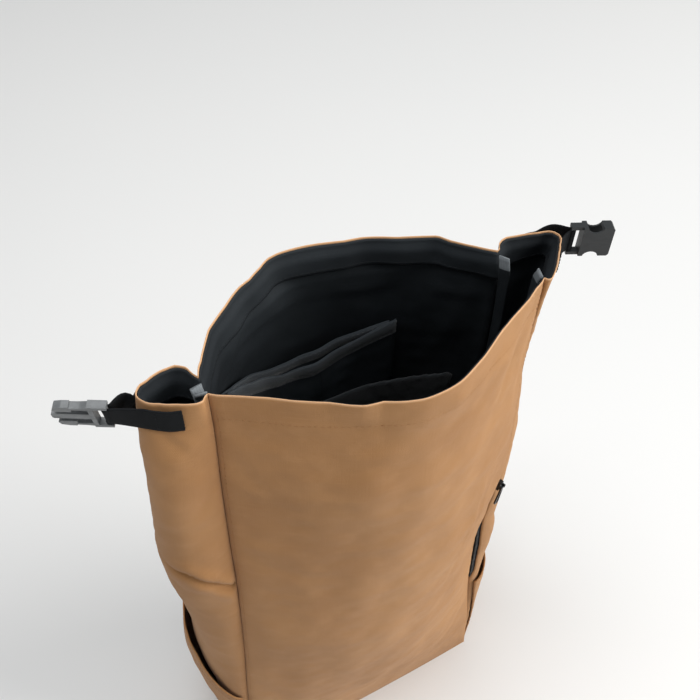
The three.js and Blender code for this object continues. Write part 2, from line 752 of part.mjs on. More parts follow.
add('right_side_pocket', sidePocket('right', true), looks.canvas);

// Zipper: tape in the opening of the seam, slider at its top, puller hanging from the slider
const zipSink = 0.4;
function zipTape() {
  const outerRows = [];
  const innerRows = [];
  const ends = [0.06, 0.985].map((up) => (zipFoot + up * zipLength) / bagHeight);
  const levels = rightLevels.filter((level) => level > ends[0] + 0.003 && level < ends[1] - 0.003);
  for (const z of [ends[0], ...levels, ends[1]]) {
    const length = sideCurve('right', z).length;
    const from = (1.5 * gap) / length;
    const to = (zipOpening(z) - gap / 2) / length;
    outerRows.push([from, to].map((share) => onWall('right', z, share, zipSink)));
    innerRows.push([from, to].map((share) => onWall('right', z, share, zipSink + zipTapeWall)));
  }
  return sheetSolid(outerRows, innerRows);
}
add('zip_tape', zipTape(), looks.webbing);

const zipHead = (zipTop - sliderLength / 2) / bagHeight;
const zipUp = new THREE.Vector3(0, 0, 1);
const zipMiddle = (z) => onWall('right', z, zipOpening(z) / 2 / sideCurve('right', z).length, 0);
const zipSeam = zipMiddle(zipHead);
const seamReach = sliderLength / 2 / bagHeight;
const zipAlong = zipMiddle(zipHead + seamReach * 0.9).sub(zipMiddle(zipHead - seamReach)).normalize();
const zipAcross = onWall('right', zipHead, 0.1, 0).sub(zipSeam);
const zipOut = zipAcross.cross(zipAlong).normalize();
const zipAxis = zipOut.clone().cross(zipAlong);

const zipGroup = new THREE.Group();
zipGroup.applyMatrix4(new THREE.Matrix4().makeBasis(zipAxis, zipOut, zipAlong).setPosition(zipSeam));
group.add(zipGroup);

// In the zipper's own frame x runs across the seam, y out of the cloth and z up along it.
const sliderStand = 1.9;
const bailReach = 2.8;
const earWall = 1.2;
const bridgeHalf = 1.7;
const earPlace = bridgeHalf + gap + earWall / 2;
const pinHeight = sliderStand + sliderHeight + bailReach / 2;
function pinAlong(radius, length) {
  const pin = new THREE.CylinderGeometry(radius, radius, length, 8);
  pin.rotateZ(Math.PI / 2);
  pin.translate(0, pinHeight, 0);
  return pin;
}
function zipSlider() {
  const halfSlider = sliderWidth / 2;
  const shape = outlineShape([
    [-halfSlider * 0.7, -sliderLength / 2],
    [halfSlider * 0.7, -sliderLength / 2],
    [halfSlider, sliderLength * 0.2],
    [halfSlider * 0.6, sliderLength / 2],
    [-halfSlider * 0.6, sliderLength / 2],
    [-halfSlider, sliderLength * 0.2],
  ]);
  const body = plate(shape, sliderHeight);
  body.translate(0, sliderStand + sliderHeight / 2, 0);
  const ear = (side) => boxAt(earWall, bailReach + 0.2, 3.6, side * earPlace, pinHeight - 0.1, 0);
  const stem = boxAt(0.9, sliderStand, sliderLength * 0.6, 0, sliderStand / 2 + 1.5 * gap, 0);
  let solid = manifoldOf(body).add(manifoldOf(stem));
  for (const side of [-1, 1]) solid = solid.add(manifoldOf(ear(side)));
  solid = solid.subtract(manifoldOf(pinAlong(pullerPin / 2 + 0.25, 4 * earPlace)));
  return geometryFrom(solid);
}
add('zip_slider', zipSlider(), looks.metal, zipGroup);

function zipPuller() {
  const outer = pullerWidth / 2;
  const shape = new THREE.Shape();
  shape.absarc(0, -pullerLength + outer, outer, Math.PI, 2 * Math.PI, false);
  shape.lineTo(bridgeHalf, -2.6);
  shape.lineTo(bridgeHalf, 0.7);
  shape.lineTo(-bridgeHalf, 0.7);
  shape.lineTo(-bridgeHalf, -2.6);
  shape.closePath();
  const hole = new THREE.Path();
  hole.absarc(0, -pullerLength + outer, outer - 1.6, Math.PI, 2 * Math.PI, false);
  hole.lineTo(0.8, -5);
  hole.lineTo(-0.8, -5);
  hole.closePath();
  shape.holes.push(hole);
  const loop = plate(shape, pullerWall);
  loop.translate(0, pinHeight, 0);
  const pin = pinAlong(pullerPin / 2, 2 * (earPlace + earWall / 2));
  return geometryFrom(manifoldOf(loop).add(manifoldOf(pin)));
}
add('zip_puller', zipPuller(), looks.metal, zipGroup);

// Side-release buckle, in a frame with x towards the tip, y through the plate and z up
const slotEnd = barThick + slotLength;
const slotHalf = webWidth / 2 + 0.7;
function buckleRear(thick) {
  const half = buckleWidth / 2;
  const bar = new THREE.CylinderGeometry(barThick / 2, barThick / 2, buckleWidth - 1, 8);
  bar.rotateX(Math.PI / 2);
  bar.translate(barThick / 2, 0, 0);
  let solid = manifoldOf(bar);
  for (const side of [-1, 1]) {
    const middle = (side * (half + slotHalf)) / 2;
    const block = boxAt(slotEnd + 1, thick, half - slotHalf, (slotEnd + 1) / 2, 0, middle);
    solid = solid.add(manifoldOf(block));
  }
  return solid;
}

function maleBuckle() {
  const half = buckleWidth / 2;
  const frameEnd = slotEnd + 3;
  let solid = buckleRear(maleThick).add(manifoldOf(boxAt(3, maleThick, buckleWidth, slotEnd + 1.5, 0, 0)));
  const guide = outlineShape([
    [frameEnd - 0.5, -3.2],
    [maleLength - 1, -3.2],
    [maleLength, -2],
    [maleLength, 2],
    [maleLength - 1, 3.2],
    [frameEnd - 0.5, 3.2],
  ]);
  solid = solid.add(manifoldOf(plate(guide, maleThick * 0.8)));
  for (const side of [-1, 1]) {
    const prong = outlineShape([
      [frameEnd - 0.5, side * (half - 4.9)],
      [frameEnd + 5, side * (half - 4.1)],
      [frameEnd + 10.5, side * (half - 4.3)],
      [frameEnd + 10.5, side * (half - 6.9)],
      [maleLength - 4.5, side * (half - 7.1)],
      [maleLength - 2.2, side * (half - 5.1)],
      [maleLength - 3.6, side * (half - 2.1)],
      [maleLength - 8.5, side * (half - 0.9)],
      [frameEnd + 11.5, side * (half - 0.7)],
      [frameEnd + 11.5, side * (half - 2.1)],
      [frameEnd + 5, side * (half - 1.9)],
      [frameEnd - 0.5, side * (half - 1.1)],
    ]);
    solid = solid.add(manifoldOf(plate(prong, maleThick * 0.9)));
  }
  return geometryFrom(solid);
}

function femaleBuckle() {
  const half = buckleWidth / 2;
  const body = outlineShape([
    [slotEnd, -half],
    [femaleLength - 1.5, -half],
    [femaleLength, -half + 1.5],
    [femaleLength, half - 1.5],
    [femaleLength - 1.5, half],
    [slotEnd, half],
  ]);
  let solid = buckleRear(femaleThick * 0.6).add(manifoldOf(plate(body, femaleThick)));
  const socketStart = slotEnd + 2;
  const socketLength = femaleLength - socketStart + 1;
  const socketMiddle = socketStart + socketLength / 2;
  const socket = boxAt(socketLength, femaleThick - 3.2, buckleWidth - 4, socketMiddle, 0, 0);
  solid = solid.subtract(manifoldOf(socket));
  const bite = new THREE.CylinderGeometry(6.2, 6.2, femaleThick + 2, 16);
  for (const side of [-1, 1]) {
    const notch = bite.clone();
    notch.scale(1, 1, 0.85);
    notch.translate(socketStart + 7.5, 0, side * (half + 0.8));
    solid = solid.subtract(manifoldOf(notch));
  }
  return geometryFrom(solid);
}

// Webbing loops sewn on the outside of the side panels below the mouth. Each is a strip on edge:
// rows give the middle of its upper edge and how far the lower edge stands from it in plan.
const webTop = bagHeight - webTopDrop;
const buckleRows = {
  left: { x: -1.304, y: -0.241, angle: 150.6, lean: maleLean },
  right: { x: 1.33, y: -0.164, angle: -25.4, lean: femaleLean },
};
function buckleFrame(side) {
  const row = buckleRows[side];
  const angle = THREE.MathUtils.degToRad(row.angle);
  const lean = THREE.MathUtils.degToRad(row.lean);
  const ahead = new THREE.Vector3(Math.cos(angle), Math.sin(angle), 0);
  const rearward = new THREE.Vector3(-ahead.y, ahead.x, 0);
  if (rearward.y < 0) rearward.negate();
  const rise = zipUp.clone().multiplyScalar(Math.cos(lean)).addScaledVector(rearward, -Math.sin(lean));
  const through = new THREE.Vector3().crossVectors(rise, ahead);
  const bar = new THREE.Vector3(row.x * halfWidth, row.y * halfDepth, webTop - webWidth / 2);
  return { bar, ahead, rise, through, rearward };
}

function sewnPoint(name, share) {
  const heights = [webTop, webTop - webWidth / 2, webTop - webWidth];
  const [top, middle, foot] = heights.map(
    (height) => panelPoint(name, height / bagHeight, share, 0, false),
  );
  const near = panelPoint(name, heights[1] / bagHeight, share, -1, false);
  const outward = near.sub(middle).normalize();
  const stand = Math.max(top.sub(middle).dot(outward), foot.sub(middle).dot(outward), 0);
  return middle.addScaledVector(outward, 2 * gap + webWall / 2 + stand);
}

// share runs along the side panel, from where the sewn end starts to where the strip leaves it
const loopRows = {
  left: { name: 'left', rear: [0.22, 0.3, 0.38, 0.44], front: [0.58, 0.66, 0.74, 0.82] },
  right: { name: 'right', rear: [0.86, 0.78, 0.7, 0.63], front: [0.47, 0.41, 0.34] },
};
const barAngles = [130, 90, 45, 0, -45, -90, -130];
function webbingLoop(side) {
  const { bar, ahead, rise, rearward } = buckleFrame(side);
  const row = loopRows[side];
  const away = bar.clone().addScaledVector(ahead, barThick / 2);
  const bend = barThick / 2 + 1.5 * gap + webWall / 2;
  const wrap = barAngles.map((degrees) => {
    const angle = THREE.MathUtils.degToRad(degrees);
    return away.clone()
      .addScaledVector(ahead, Math.cos(angle) * bend)
      .addScaledVector(rearward, Math.sin(angle) * bend);
  });
  const rear = row.rear.map((share) => sewnPoint(row.name, share));
  const front = row.front.map((share) => sewnPoint(row.name, share));
  const path = [...rear, ...wrap, ...front];
  const steps = 3;
  const curve = new THREE.CatmullRomCurve3(path, false, 'centripetal');
  const points = curve.getPoints(steps * (path.length - 1));
  const middle = steps * (rear.length + (wrap.length - 1) / 2);
  const held = steps * ((wrap.length - 1) / 2);
  const across = (i) => {
    const loose = Math.max(Math.abs(i - middle) - held, 0) / steps;
    return zipUp.clone().lerp(rise, THREE.MathUtils.clamp(1 - loose, 0, 1));
  };
  return sweptSolid(points, across, () => stripOutline(webWidth / 2, webWall / 2));
}
add('left_webbing_loop', webbingLoop('left'), looks.webbing);
add('right_webbing_loop', webbingLoop('right'), looks.webbing);

function placeBuckle(name, side, geometry) {
  const { bar, ahead, rise, through } = buckleFrame(side);
  const holder = new THREE.Group();
  holder.applyMatrix4(new THREE.Matrix4().makeBasis(ahead, through, rise).setPosition(bar));
  group.add(holder);
  add(name, geometry, looks.plastic, holder);
}
placeBuckle('male_buckle', 'left', maleBuckle());
placeBuckle('female_buckle', 'right', femaleBuckle());

// Back pad
const padHalf = halfWidth - strapWidth / 2 - strapClear;
function backPad() {
  const reach = padHalf / sideCurve('back', (padFoot + padTop) / 2 / bagHeight).length;
  const shares = facetShares('back', 0.5 - reach, 0.5 + reach);
  const levels = levelsBetween(padFoot / bagHeight, padTop / bagHeight);
  const outerRows = [];
  const innerRows = [];
  levels.forEach((level, r) => {
    const endRow = r === 0 || r === levels.length - 1;
    const thickAt = (c) => (endRow || c === 0 || c === shares.length - 1 ? padWall * 0.45 : padWall);
    outerRows.push(shares.map((share, c) => onWall('back', level, share, -clothStand - thickAt(c))));
    innerRows.push(shares.map((share) => onWall('back', level, share, -clothStand)));
  });
  return sheetSolid(outerRows, innerRows);
}
add('back_pad', backPad(), looks.webbing);

// Shoulder straps. x, y and z are shares of half the width, half the depth and the height.
const strapRows = [
  { x: 0.33, y: 1.18, z: 0.74 },
  { x: 0.37, y: 1.19, z: 0.7 },
  { x: 0.47, y: 1.23, z: 0.665 },
  { x: 0.63, y: 1.27, z: 0.635 },
  { x: 0.8, y: 1.25, z: 0.6 },
  { x: 0.92, y: 1.27, z: 0.555 },
  { x: 0.99, y: 1.31, z: 0.5 },
  { x: 1.02, y: 1.33, z: 0.42 },
  { x: 1.01, y: 1.31, z: 0.365 },
  { x: 1.01, y: 1.31, z: 0.325 },
];
const strapTurnTop = -20;
const strapTurnFoot = 14;
const strapSteps = 18;
function strapPath(side) {
  return strapRows.map((row) => new THREE.Vector3(
    side * row.x * halfWidth,
    row.y * halfDepth,
    row.z * bagHeight,
  ));
}
function shoulderStrap(side) {
  const points = new THREE.CatmullRomCurve3(strapPath(side), false, 'centripetal').getPoints(strapSteps);
  const across = (i) => {
    const down = THREE.MathUtils.smoothstep(i / strapSteps, 0.2, 0.8);
    const turn = THREE.MathUtils.degToRad(side * THREE.MathUtils.lerp(strapTurnTop, strapTurnFoot, down));
    return new THREE.Vector3(Math.cos(turn), Math.sin(turn), 0);
  };
  const section = (i) => {
    const down = i / strapSteps;
    const taper = 0.75 + 0.25 * THREE.MathUtils.smoothstep(down, 0, 0.2);
    const w = (strapWidth / 2) * (taper - 0.35 * THREE.MathUtils.smoothstep(down, 0.8, 1));
    const t = strapThick / 2;
    return [
      [-w, -t * 0.5],
      [-w * 0.85, -t],
      [w * 0.85, -t],
      [w, -t * 0.5],
      [w, t * 0.5],
      [w * 0.85, t],
      [-w * 0.85, t],
      [-w, t * 0.5],
    ];
  };
  return sweptSolid(points, across, section);
}
add('left_shoulder_strap', shoulderStrap(-1), looks.canvas);
add('right_shoulder_strap', shoulderStrap(1), looks.canvas);

// Lower strap webbing with its adjuster
const adjusterHeight = 27;
const slotNear = 4;
const slotFar = 10;
function adjusterPlace(side) {
  const path = strapPath(side);
  const end = path[path.length - 1];
  return new THREE.Vector3(end.x, end.y, end.z - adjusterHeight / 2 - 3);
}
function adjuster(side) {
  const half = strapWebWidth / 2 + 4;
  const slot = strapWebWidth / 2 + 1;
  const shape = outlineShape([
    [-half, -adjusterHeight / 2],
    [half, -adjusterHeight / 2],
    [half, adjusterHeight / 2],
    [-half, adjusterHeight / 2],
  ]);
  for (const [from, to] of [[-slotFar, -slotNear], [slotNear, slotFar]]) {
    shape.holes.push(new THREE.Path([
      new THREE.Vector2(-slot, from),
      new THREE.Vector2(-slot, to),
      new THREE.Vector2(slot, to),
      new THREE.Vector2(slot, from),
    ]));
  }
  const geometry = plate(shape, adjusterThick);
  const place = adjusterPlace(side);
  geometry.translate(place.x, place.y, place.z);
  return geometry;
}

// One strip from the shoulder strap's end through the adjuster to the foot of the back panel
const webSeam = 0.075;
const webStand = clothStand + 1.5 * gap;
function lowerWebbing(side) {
  const place = adjusterPlace(side);
  const half = strapWebWidth / 2;
  const thick = strapWebWall / 2;
  const share = side > 0 ? webSeam : 1 - webSeam;
  const sewn = (height) => panelPoint('back', height / bagHeight, share, -webStand - thick, false);
  const under = adjusterThick / 2 + gap + thick;
  const top = adjusterHeight / 2;
  const threadRows = [
    { out: -under, up: top + 2.2 },
    { out: -under, up: top - 2 },
    { out: -under, up: slotFar - 0.6 },
    { out: -0.35 * under, up: slotNear + 3.2 },
    { out: 0.35 * under, up: slotNear + 2.8 },
    { out: under, up: slotNear + 0.6 },
    { out: under, up: -slotNear - 0.6 },
    { out: 0.35 * under, up: -slotNear - 2.8 },
    { out: -0.35 * under, up: -slotNear - 3.2 },
    { out: -under, up: -slotFar + 0.6 },
    { out: -under, up: -top },
    { out: -1.1 * under, up: -top - 6 },
  ];
  const path = [
    ...threadRows.map((row) => new THREE.Vector3(place.x, place.y + row.out, place.z + row.up)),
    new THREE.Vector3(place.x - side * 6, place.y - 6, place.z - 60),
    new THREE.Vector3(place.x - side * 13, place.y, 84),
    sewn(58),
    sewn(44),
    sewn(30),
    sewn(18),
  ];
  const steps = 2;
  const curve = new THREE.CatmullRomCurve3(path, false, 'centripetal');
  const points = curve.getPoints(steps * (path.length - 1));
  const near = panelPoint('back', 0.06, share - 0.01, 0, false);
  const along = near.sub(panelPoint('back', 0.06, share + 0.01, 0, false)).setZ(0).normalize();
  const flat = new THREE.Vector3(1, 0, 0);
  const across = (i) => {
    const down = i / (points.length - 1);
    return flat.clone().lerp(along, THREE.MathUtils.smoothstep(down, 0.55, 0.72));
  };
  return sweptSolid(points, across, () => stripOutline(half, thick));
}
for (const [name, side] of [['left', -1], ['right', 1]]) {
  add(`${name}_strap_adjuster`, adjuster(side), looks.plastic);
  add(`${name}_lower_webbing`, lowerWebbing(side), looks.webbing);
}

// Haul loop: a strip on edge with both ends sewn flat on the back panel
const haulRise = 56;
const haulHeight = strapRows[0].z * bagHeight + haulRise;
const haulReach = 30;
const haulRows = [
  { x: -72, stand: 0 },
  { x: -62, stand: 0 },
  { x: -52, stand: 0 },
  { x: -40, stand: 0.3 },
  { x: -22, stand: 0.85 },
  { x: 0, stand: 1 },
  { x: 22, stand: 0.85 },
  { x: 40, stand: 0.3 },
  { x: 52, stand: 0 },
  { x: 62, stand: 0 },
  { x: 72, stand: 0 },
];
function haulLoop() {
  const half = haulWidth / 2;
  const thick = haulWall / 2;
  const level = haulHeight / bagHeight;
  const length = sideCurve('back', level).length;
  const path = haulRows.map((row) => {
    const stand = clothStand + thick + 1 + row.stand * haulReach;
    return panelPoint('back', level, 0.5 - row.x / length, -stand, false);
  });
  const steps = 2;
  const curve = new THREE.CatmullRomCurve3(path, false, 'centripetal');
  const points = curve.getPoints(steps * (path.length - 1));
  return sweptSolid(points, () => zipUp.clone(), () => stripOutline(half, thick));
}
add('haul_loop', haulLoop(), looks.webbing);

export default group;
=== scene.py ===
import math

import bpy
import numpy as np
from mathutils import Matrix, Vector


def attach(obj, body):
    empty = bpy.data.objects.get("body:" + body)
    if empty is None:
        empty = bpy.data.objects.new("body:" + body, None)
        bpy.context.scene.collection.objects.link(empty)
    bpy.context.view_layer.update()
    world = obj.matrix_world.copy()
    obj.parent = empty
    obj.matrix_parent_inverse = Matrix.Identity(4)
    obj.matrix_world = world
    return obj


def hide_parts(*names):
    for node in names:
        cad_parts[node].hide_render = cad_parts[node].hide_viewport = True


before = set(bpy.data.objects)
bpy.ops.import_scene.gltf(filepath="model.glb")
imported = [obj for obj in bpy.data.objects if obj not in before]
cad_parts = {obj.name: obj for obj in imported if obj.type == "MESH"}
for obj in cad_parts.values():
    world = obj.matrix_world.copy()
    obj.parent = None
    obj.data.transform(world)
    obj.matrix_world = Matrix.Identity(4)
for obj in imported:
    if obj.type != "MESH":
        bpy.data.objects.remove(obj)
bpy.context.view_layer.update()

# A rolltop backpack, standing open. The tables are in millimetres or in shares of these sizes,
# in the frame of the CAD model: +Z up, the front faces -Y, the origin is under the base.
MM = 0.001
BAG_HEIGHT = 600.0
HALF_WIDTH = 138.0
HALF_DEPTH = 58.0
GRID = 3.2
RING_GRID = GRID * 1.3
POCKET_STEP = 3.6
rng = np.random.default_rng(7)

# Layers, as insets from the outside of the shell
SHELL_WALL = 1.6
EDGE_WALL, EDGE_REACH = 0.9, 9.0  # the shell thins to the mouth's edge
EDGE_PULL, EDGE_PULL_FROM, EDGE_PULL_TO = 2.8, 588.5, 597.0  # facing and tapes turn out over it
LINING_OUT, LINING_IN, LINING_TOP = 2.2, 3.2, 588.0
FACING_OUT, FACING_IN, FACING_TOP, HEM_DEPTH = 3.9, 4.9, 599.0, 25.0
BASE_TOP = 3.3
TABLET_EDGE, TABLET_MIDDLE, TABLET_WALL = 4.05, 11.05, 1.5
SLIP_EDGE, SLIP_MIDDLE, SLIP_WALL = 6.4, 19.55, 1.2
LAPTOP_EDGE, LAPTOP_MIDDLE, LAPTOP_WALL = 8.45, 27.75, 4.0

# Corner seams: height share, then shares of half the width (x) or of half the depth (y)
LEFT_SEAM = np.array([  # z, x, front y, back y
    (0, -1, -1, 1), (0.1, -1, -0.98, 1), (0.28, -0.98, -0.95, 0.98), (0.41, -0.95, -0.91, 0.86),
    (0.48, -0.94, -0.9, 0.72), (0.55, -0.93, -0.88, 0.52), (0.62, -0.92, -0.84, 0.21),
    (0.73, -0.91, -0.76, -0.03), (0.83, -0.9, -0.71, -0.17), (0.93, -0.885, -0.66, -0.26),
    (1, -0.888, -0.64, -0.27),
])
RIGHT_SEAM = np.array([  # z, front x, front y, back x, back y
    (0, 1, -1, 1, 1), (0.1, 0.985, -0.985, 1, 1), (0.28, 0.9, -0.94, 1, 0.98),
    (0.41, 0.87, -0.915, 0.99, 0.9), (0.48, 0.87, -0.91, 0.985, 0.79),
    (0.55, 0.915, -0.9, 0.98, 0.62), (0.62, 0.985, -0.88, 0.97, 0.38),
    (0.73, 0.975, -0.86, 0.95, 0.14), (0.83, 0.95, -0.85, 0.915, 0),
    (0.93, 0.955, -0.83, 0.885, -0.06), (1, 0.95, -0.83, 0.865, -0.07),
])

# Panels: height share, then how far the two handles of its cubic curve stand out and over
PANEL_ROWS = {  # z, start out, start over, end out, end over
    "front": np.array([
        (0, 0.06, -0.6, 0.06, -0.6), (0.1, 0.4, -0.55, 0.4, -0.55), (0.28, 0.9, -0.5, 0.9, -0.5),
        (0.48, 1.2, -0.5, 1.2, -0.5), (0.62, 1.25, -0.55, 1.25, -0.55),
        (0.73, 1.3, -0.62, 1.3, -0.62), (0.83, 1.36, -0.72, 1.36, -0.72),
        (0.93, 1.36, -0.86, 1.36, -0.86), (1, 1.38, -1.02, 1.36, -1.02),
    ]),
    "right": np.array([
        (0, 0.06, -0.5, 0.06, -0.5), (0.1, 0.3, -0.2, 0.25, -0.3), (0.28, 0.68, 0.05, 0.24, -0.28),
        (0.41, 0.89, 0.16, 0.29, -0.24), (0.48, 0.81, 0.12, 0.51, -0.12),
        (0.55, 0.65, -0.02, 0.84, 0.1), (0.62, 0.46, -0.21, 1.17, 0.34),
        (0.73, 0.42, -0.25, 1.39, 0.43), (0.83, 0.22, -0.33, 1.62, 0.41),
        (0.93, 0.17, 0.02, 1.74, 0.16), (1, 0.08, 0.35, 1.7, -0.14),
    ]),
    "back": np.array([
        (0, 0.06, -0.6, 0.06, -0.6), (0.1, 0.3, -0.5, 0.3, -0.5), (0.28, 0.55, -0.5, 0.55, -0.5),
        (0.48, 0.85, -0.5, 0.9, -0.5), (0.62, 1.2, -0.5, 1.3, -0.45),
        (0.73, 1.35, -0.5, 1.55, -0.42), (0.83, 1.5, -0.57, 1.7, -0.46),
        (1, 1.66, -0.66, 1.72, -0.49),
    ]),
    "left": np.array([
        (0, 0.06, -0.5, 0.06, -0.5), (0.1, 0.25, -0.3, 0.25, -0.3), (0.28, 0.55, -0.1, 0.55, -0.1),
        (0.41, 0.7, -0.06, 0.7, -0.06), (0.48, 0.82, -0.02, 0.82, -0.01),
        (0.55, 0.95, 0.08, 0.94, 0.07), (0.62, 1.1, 0.26, 1.09, 0.15),
        (0.73, 1.11, 0.43, 1.12, 0.36), (0.83, 1.07, 0.57, 1.08, 0.5),
        (0.93, 0.95, 0.68, 1.13, 0.4), (1, 0.5, 0.7, 1.25, 0.1),
    ]),
}
OVER_SCALE = {"front": HALF_WIDTH, "right": HALF_DEPTH, "back": HALF_WIDTH, "left": HALF_DEPTH}
BEFORE = {"front": "left", "right": "front", "back": "right", "left": "back"}
AFTER = {"front": "right", "right": "back", "back": "left", "left": "front"}
AROUND = ("front", "right", "back", "left")

# Creases: from and to, each as share along the panel and height share, then width and height in mm
CREASES = {
    "front": [
        (0.775, 0.7, 0.705, 0.5, 5, 1.3), (0.8, 0.7, 0.73, 0.5, 7, -1.6),
        (0.93, 0.955, 0.79, 0.86, 9, -2.2), (0.87, 0.975, 0.72, 0.9, 10, 1.6),
        (0.985, 0.93, 0.93, 0.8, 7, -1.6), (0.3, 0.99, 0.36, 0.93, 10, -1.3),
        (0.02, 0.9, 0.1, 0.84, 7, -1), (0.03, 0.7, 0.2, 0.66, 9, -1.1),
        (0.6, 0.99, 0.58, 0.94, 11, 1.2), (0.93, 0.6, 0.99, 0.54, 6, -0.5),
        (0.96, 0.5, 0.88, 0.4, 7, -0.4), (0.02, 0.33, 0.22, 0.2, 9, -1.4),
        (0.98, 0.22, 0.8, 0.12, 9, -1.4),
    ],
    "right": [
        (0.1, 0.63, 0.75, 0.655, 5, -2.6), (0.15, 0.655, 0.7, 0.68, 8, 1.6),
        (0.12, 0.93, 0.3, 0.8, 6, -2), (0.3, 0.97, 0.45, 0.84, 7, -1.4),
        (0.85, 0.86, 0.6, 0.72, 8, -1.6), (0.1, 0.48, 0.45, 0.42, 8, -1.4),
    ],
    "back": [
        (0.15, 0.97, 0.3, 0.9, 11, 1.8), (0.62, 0.985, 0.52, 0.92, 12, 1.7),
        (0.78, 0.96, 0.88, 0.86, 10, -1.8), (0.95, 0.93, 0.85, 0.72, 8, -1.6),
        (0.05, 0.92, 0.16, 0.76, 9, -1.8), (0.35, 0.955, 0.48, 0.935, 8, -1.4),
        (0.03, 0.7, 0.25, 0.66, 8, -1.4), (0.97, 0.68, 0.75, 0.64, 8, -1.4),
    ],
    "left": [
        (0.69, 0.97, 0.82, 0.942, 3.6, 1.1), (0.7, 0.96, 0.8, 0.93, 5, -1.1),
        (0.56, 0.645, 0.66, 0.635, 3, -1.2), (0.43, 0.735, 0.52, 0.725, 4, -1),
        (0.96, 0.86, 0.78, 0.8, 7, -1), (0.1, 0.9, 0.3, 0.8, 8, -1.8),
        (0.05, 0.55, 0.4, 0.5, 8, -1.6),
    ],
}
# The fold of the roll top across the left panel, where the upper cloth hangs over the lower
TUCK = np.array([  # share, height share
    (0.1, 0.655), (0.25, 0.68), (0.4, 0.7), (0.497, 0.703), (0.592, 0.695), (0.723, 0.69),
    (0.795, 0.672), (0.852, 0.657), (0.903, 0.64), (1, 0.617),
])
# How far the mouth's edge stands outside its plain curve: share along the panel, mm
RIM = {
    "front": np.array([
        (0, -0.4), (0.062, -0.8), (0.125, -1.3), (0.186, -0.3), (0.265, -1.1), (0.313, 1),
        (0.349, 1), (0.391, -2.5), (0.461, -0.8), (0.487, 0.1), (0.533, 0.2), (0.582, 1),
        (0.631, 0.6), (0.686, 0.7), (0.784, -1.3), (0.834, -1.5), (0.919, -0.3), (0.962, -1.1),
        (1, -0.2),
    ]),
    "right": np.array([
        (0, 0), (0.076, -2.7), (0.127, -3.9), (0.189, -4.6), (0.257, -5), (0.344, -5),
        (0.446, -2.5), (0.491, 0.6), (0.514, 2.6), (0.576, 3.1), (0.615, 1.4), (0.664, 0.1),
        (0.747, 1.7), (0.816, 3.6), (0.876, 6.1), (0.914, 5.6), (0.962, 3.4), (1, 0.1),
    ]),
    "back": np.array([
        (0, -1.6), (0.033, -2), (0.076, -1.3), (0.122, 0.7), (0.152, 3.9), (0.181, 2.4),
        (0.256, -0.8), (0.343, -1.2), (0.392, -3.1), (0.435, -2.1), (0.474, -0.7), (0.529, 1.9),
        (0.568, 3.3), (0.597, 3.1), (0.634, -0.5), (0.679, -2.3), (0.715, -1.1), (0.787, -1),
        (0.832, 0.2), (0.868, 1.5), (0.923, -0.1), (0.964, -0.9), (1, 0.2),
    ]),
    "left": np.array([
        (0, -0.2), (0.014, -0.8), (0.077, 2.4), (0.147, 2.8), (0.199, 0.4), (0.278, -1.2),
        (0.358, -1.5), (0.404, 0.9), (0.474, 1.9), (0.508, 0.9), (0.549, -1.1), (0.604, -2.4),
        (0.673, -3.7), (0.797, -1.5), (0.858, 0.7), (0.915, 2.5), (0.964, 2.7), (1, -0.1),
    ]),
}
RIM_REACH = 62.0
SEAM_DIP = 1.5
SEAM_WIDTH = 3.2
MITRE_REACH = 7.0
CURVE_STEPS = 120

# Zipper opening in the right panel's edge, at the front right seam: share of its length from the
# foot, share of its width
ZIP_ROWS = np.array([(0, 0), (0.12, 0.85), (0.42, 1), (0.68, 0.6), (0.97, 0.5), (1, 0)])
ZIP_FOOT, ZIP_LENGTH, ZIP_WIDTH = 162.0, 188.0, 6.0
COIL_PITCH, COIL_HALF = 1.35, 0.38

# Tops of the pockets on the back wall, as height shares at the two ends and the middle
TABLET_TOP = np.array([(0.0, 0.853), (0.5, 0.826), (1.0, 0.897)])
SLIP_TOP = np.array([(0.0, 0.858), (0.5, 0.818), (1.0, 0.894)])
BACK_RUN = 290.0  # about the length of the back panel's line, for point counts and UVs
TABLET_SPAN, TABLET_FOOT = (0.27, 0.9), 288.0
SLIP_SPAN, SLIP_FOOT = (0.25, 0.88), 272.0
LAPTOP_SPAN, LAPTOP_FOOT, LAPTOP_TOP = (0.06, 0.94), 4.9, 450.0

# Side pockets
POCKET_FOOT, POCKET_LOW, POCKET_HIGH = 3.6, 155.0, 262.0
POCKET_BELLY, POCKET_SEAM, POCKET_STAND, POCKET_RUN = 9.0, 5.0, 0.85, 140.0

# Webbing, buckles, straps and pad
WEB_WIDTH, WEB_WALL, WEB_TOP = 20.0, 1.5, 599.0
BAR_THICK, WEB_GAP = 2.8, 0.3
STRAP_WIDTH, STRAP_THICK = 62.0, 9.0
LOWER_WIDTH, LOWER_WALL, ADJUSTER_HEIGHT = 25.0, 1.5, 27.0
HAUL_WIDTH, HAUL_WALL, HAUL_HEIGHT, HAUL_REACH = 25.0, 2.4, 500.0, 30.0
PAD_WALL, PAD_FOOT, PAD_TOP, PAD_SPAN, PAD_RUN = 8.0, 36.0, 379.0, (0.14, 0.86), 270.0
STRAP_ROWS = np.array([  # x, y and z as shares of half the width, half the depth and the height
    (0.33, 1.18, 0.74), (0.37, 1.19, 0.7), (0.47, 1.23, 0.665), (0.61, 1.27, 0.635),
    (0.76, 1.25, 0.6), (0.875, 1.27, 0.555), (0.955, 1.31, 0.5), (1.0, 1.33, 0.42),
    (1.01, 1.31, 0.365), (1.01, 1.31, 0.325),
])
HAUL_SEAM = 9.5
HAUL_ROWS = np.array([  # x in mm, share of the reach
    (-72, 0), (-62, 0), (-52, 0), (-40, 0.3), (-22, 0.85), (0, 1), (22, 0.85), (40, 0.3),
    (52, 0), (62, 0), (72, 0),
])


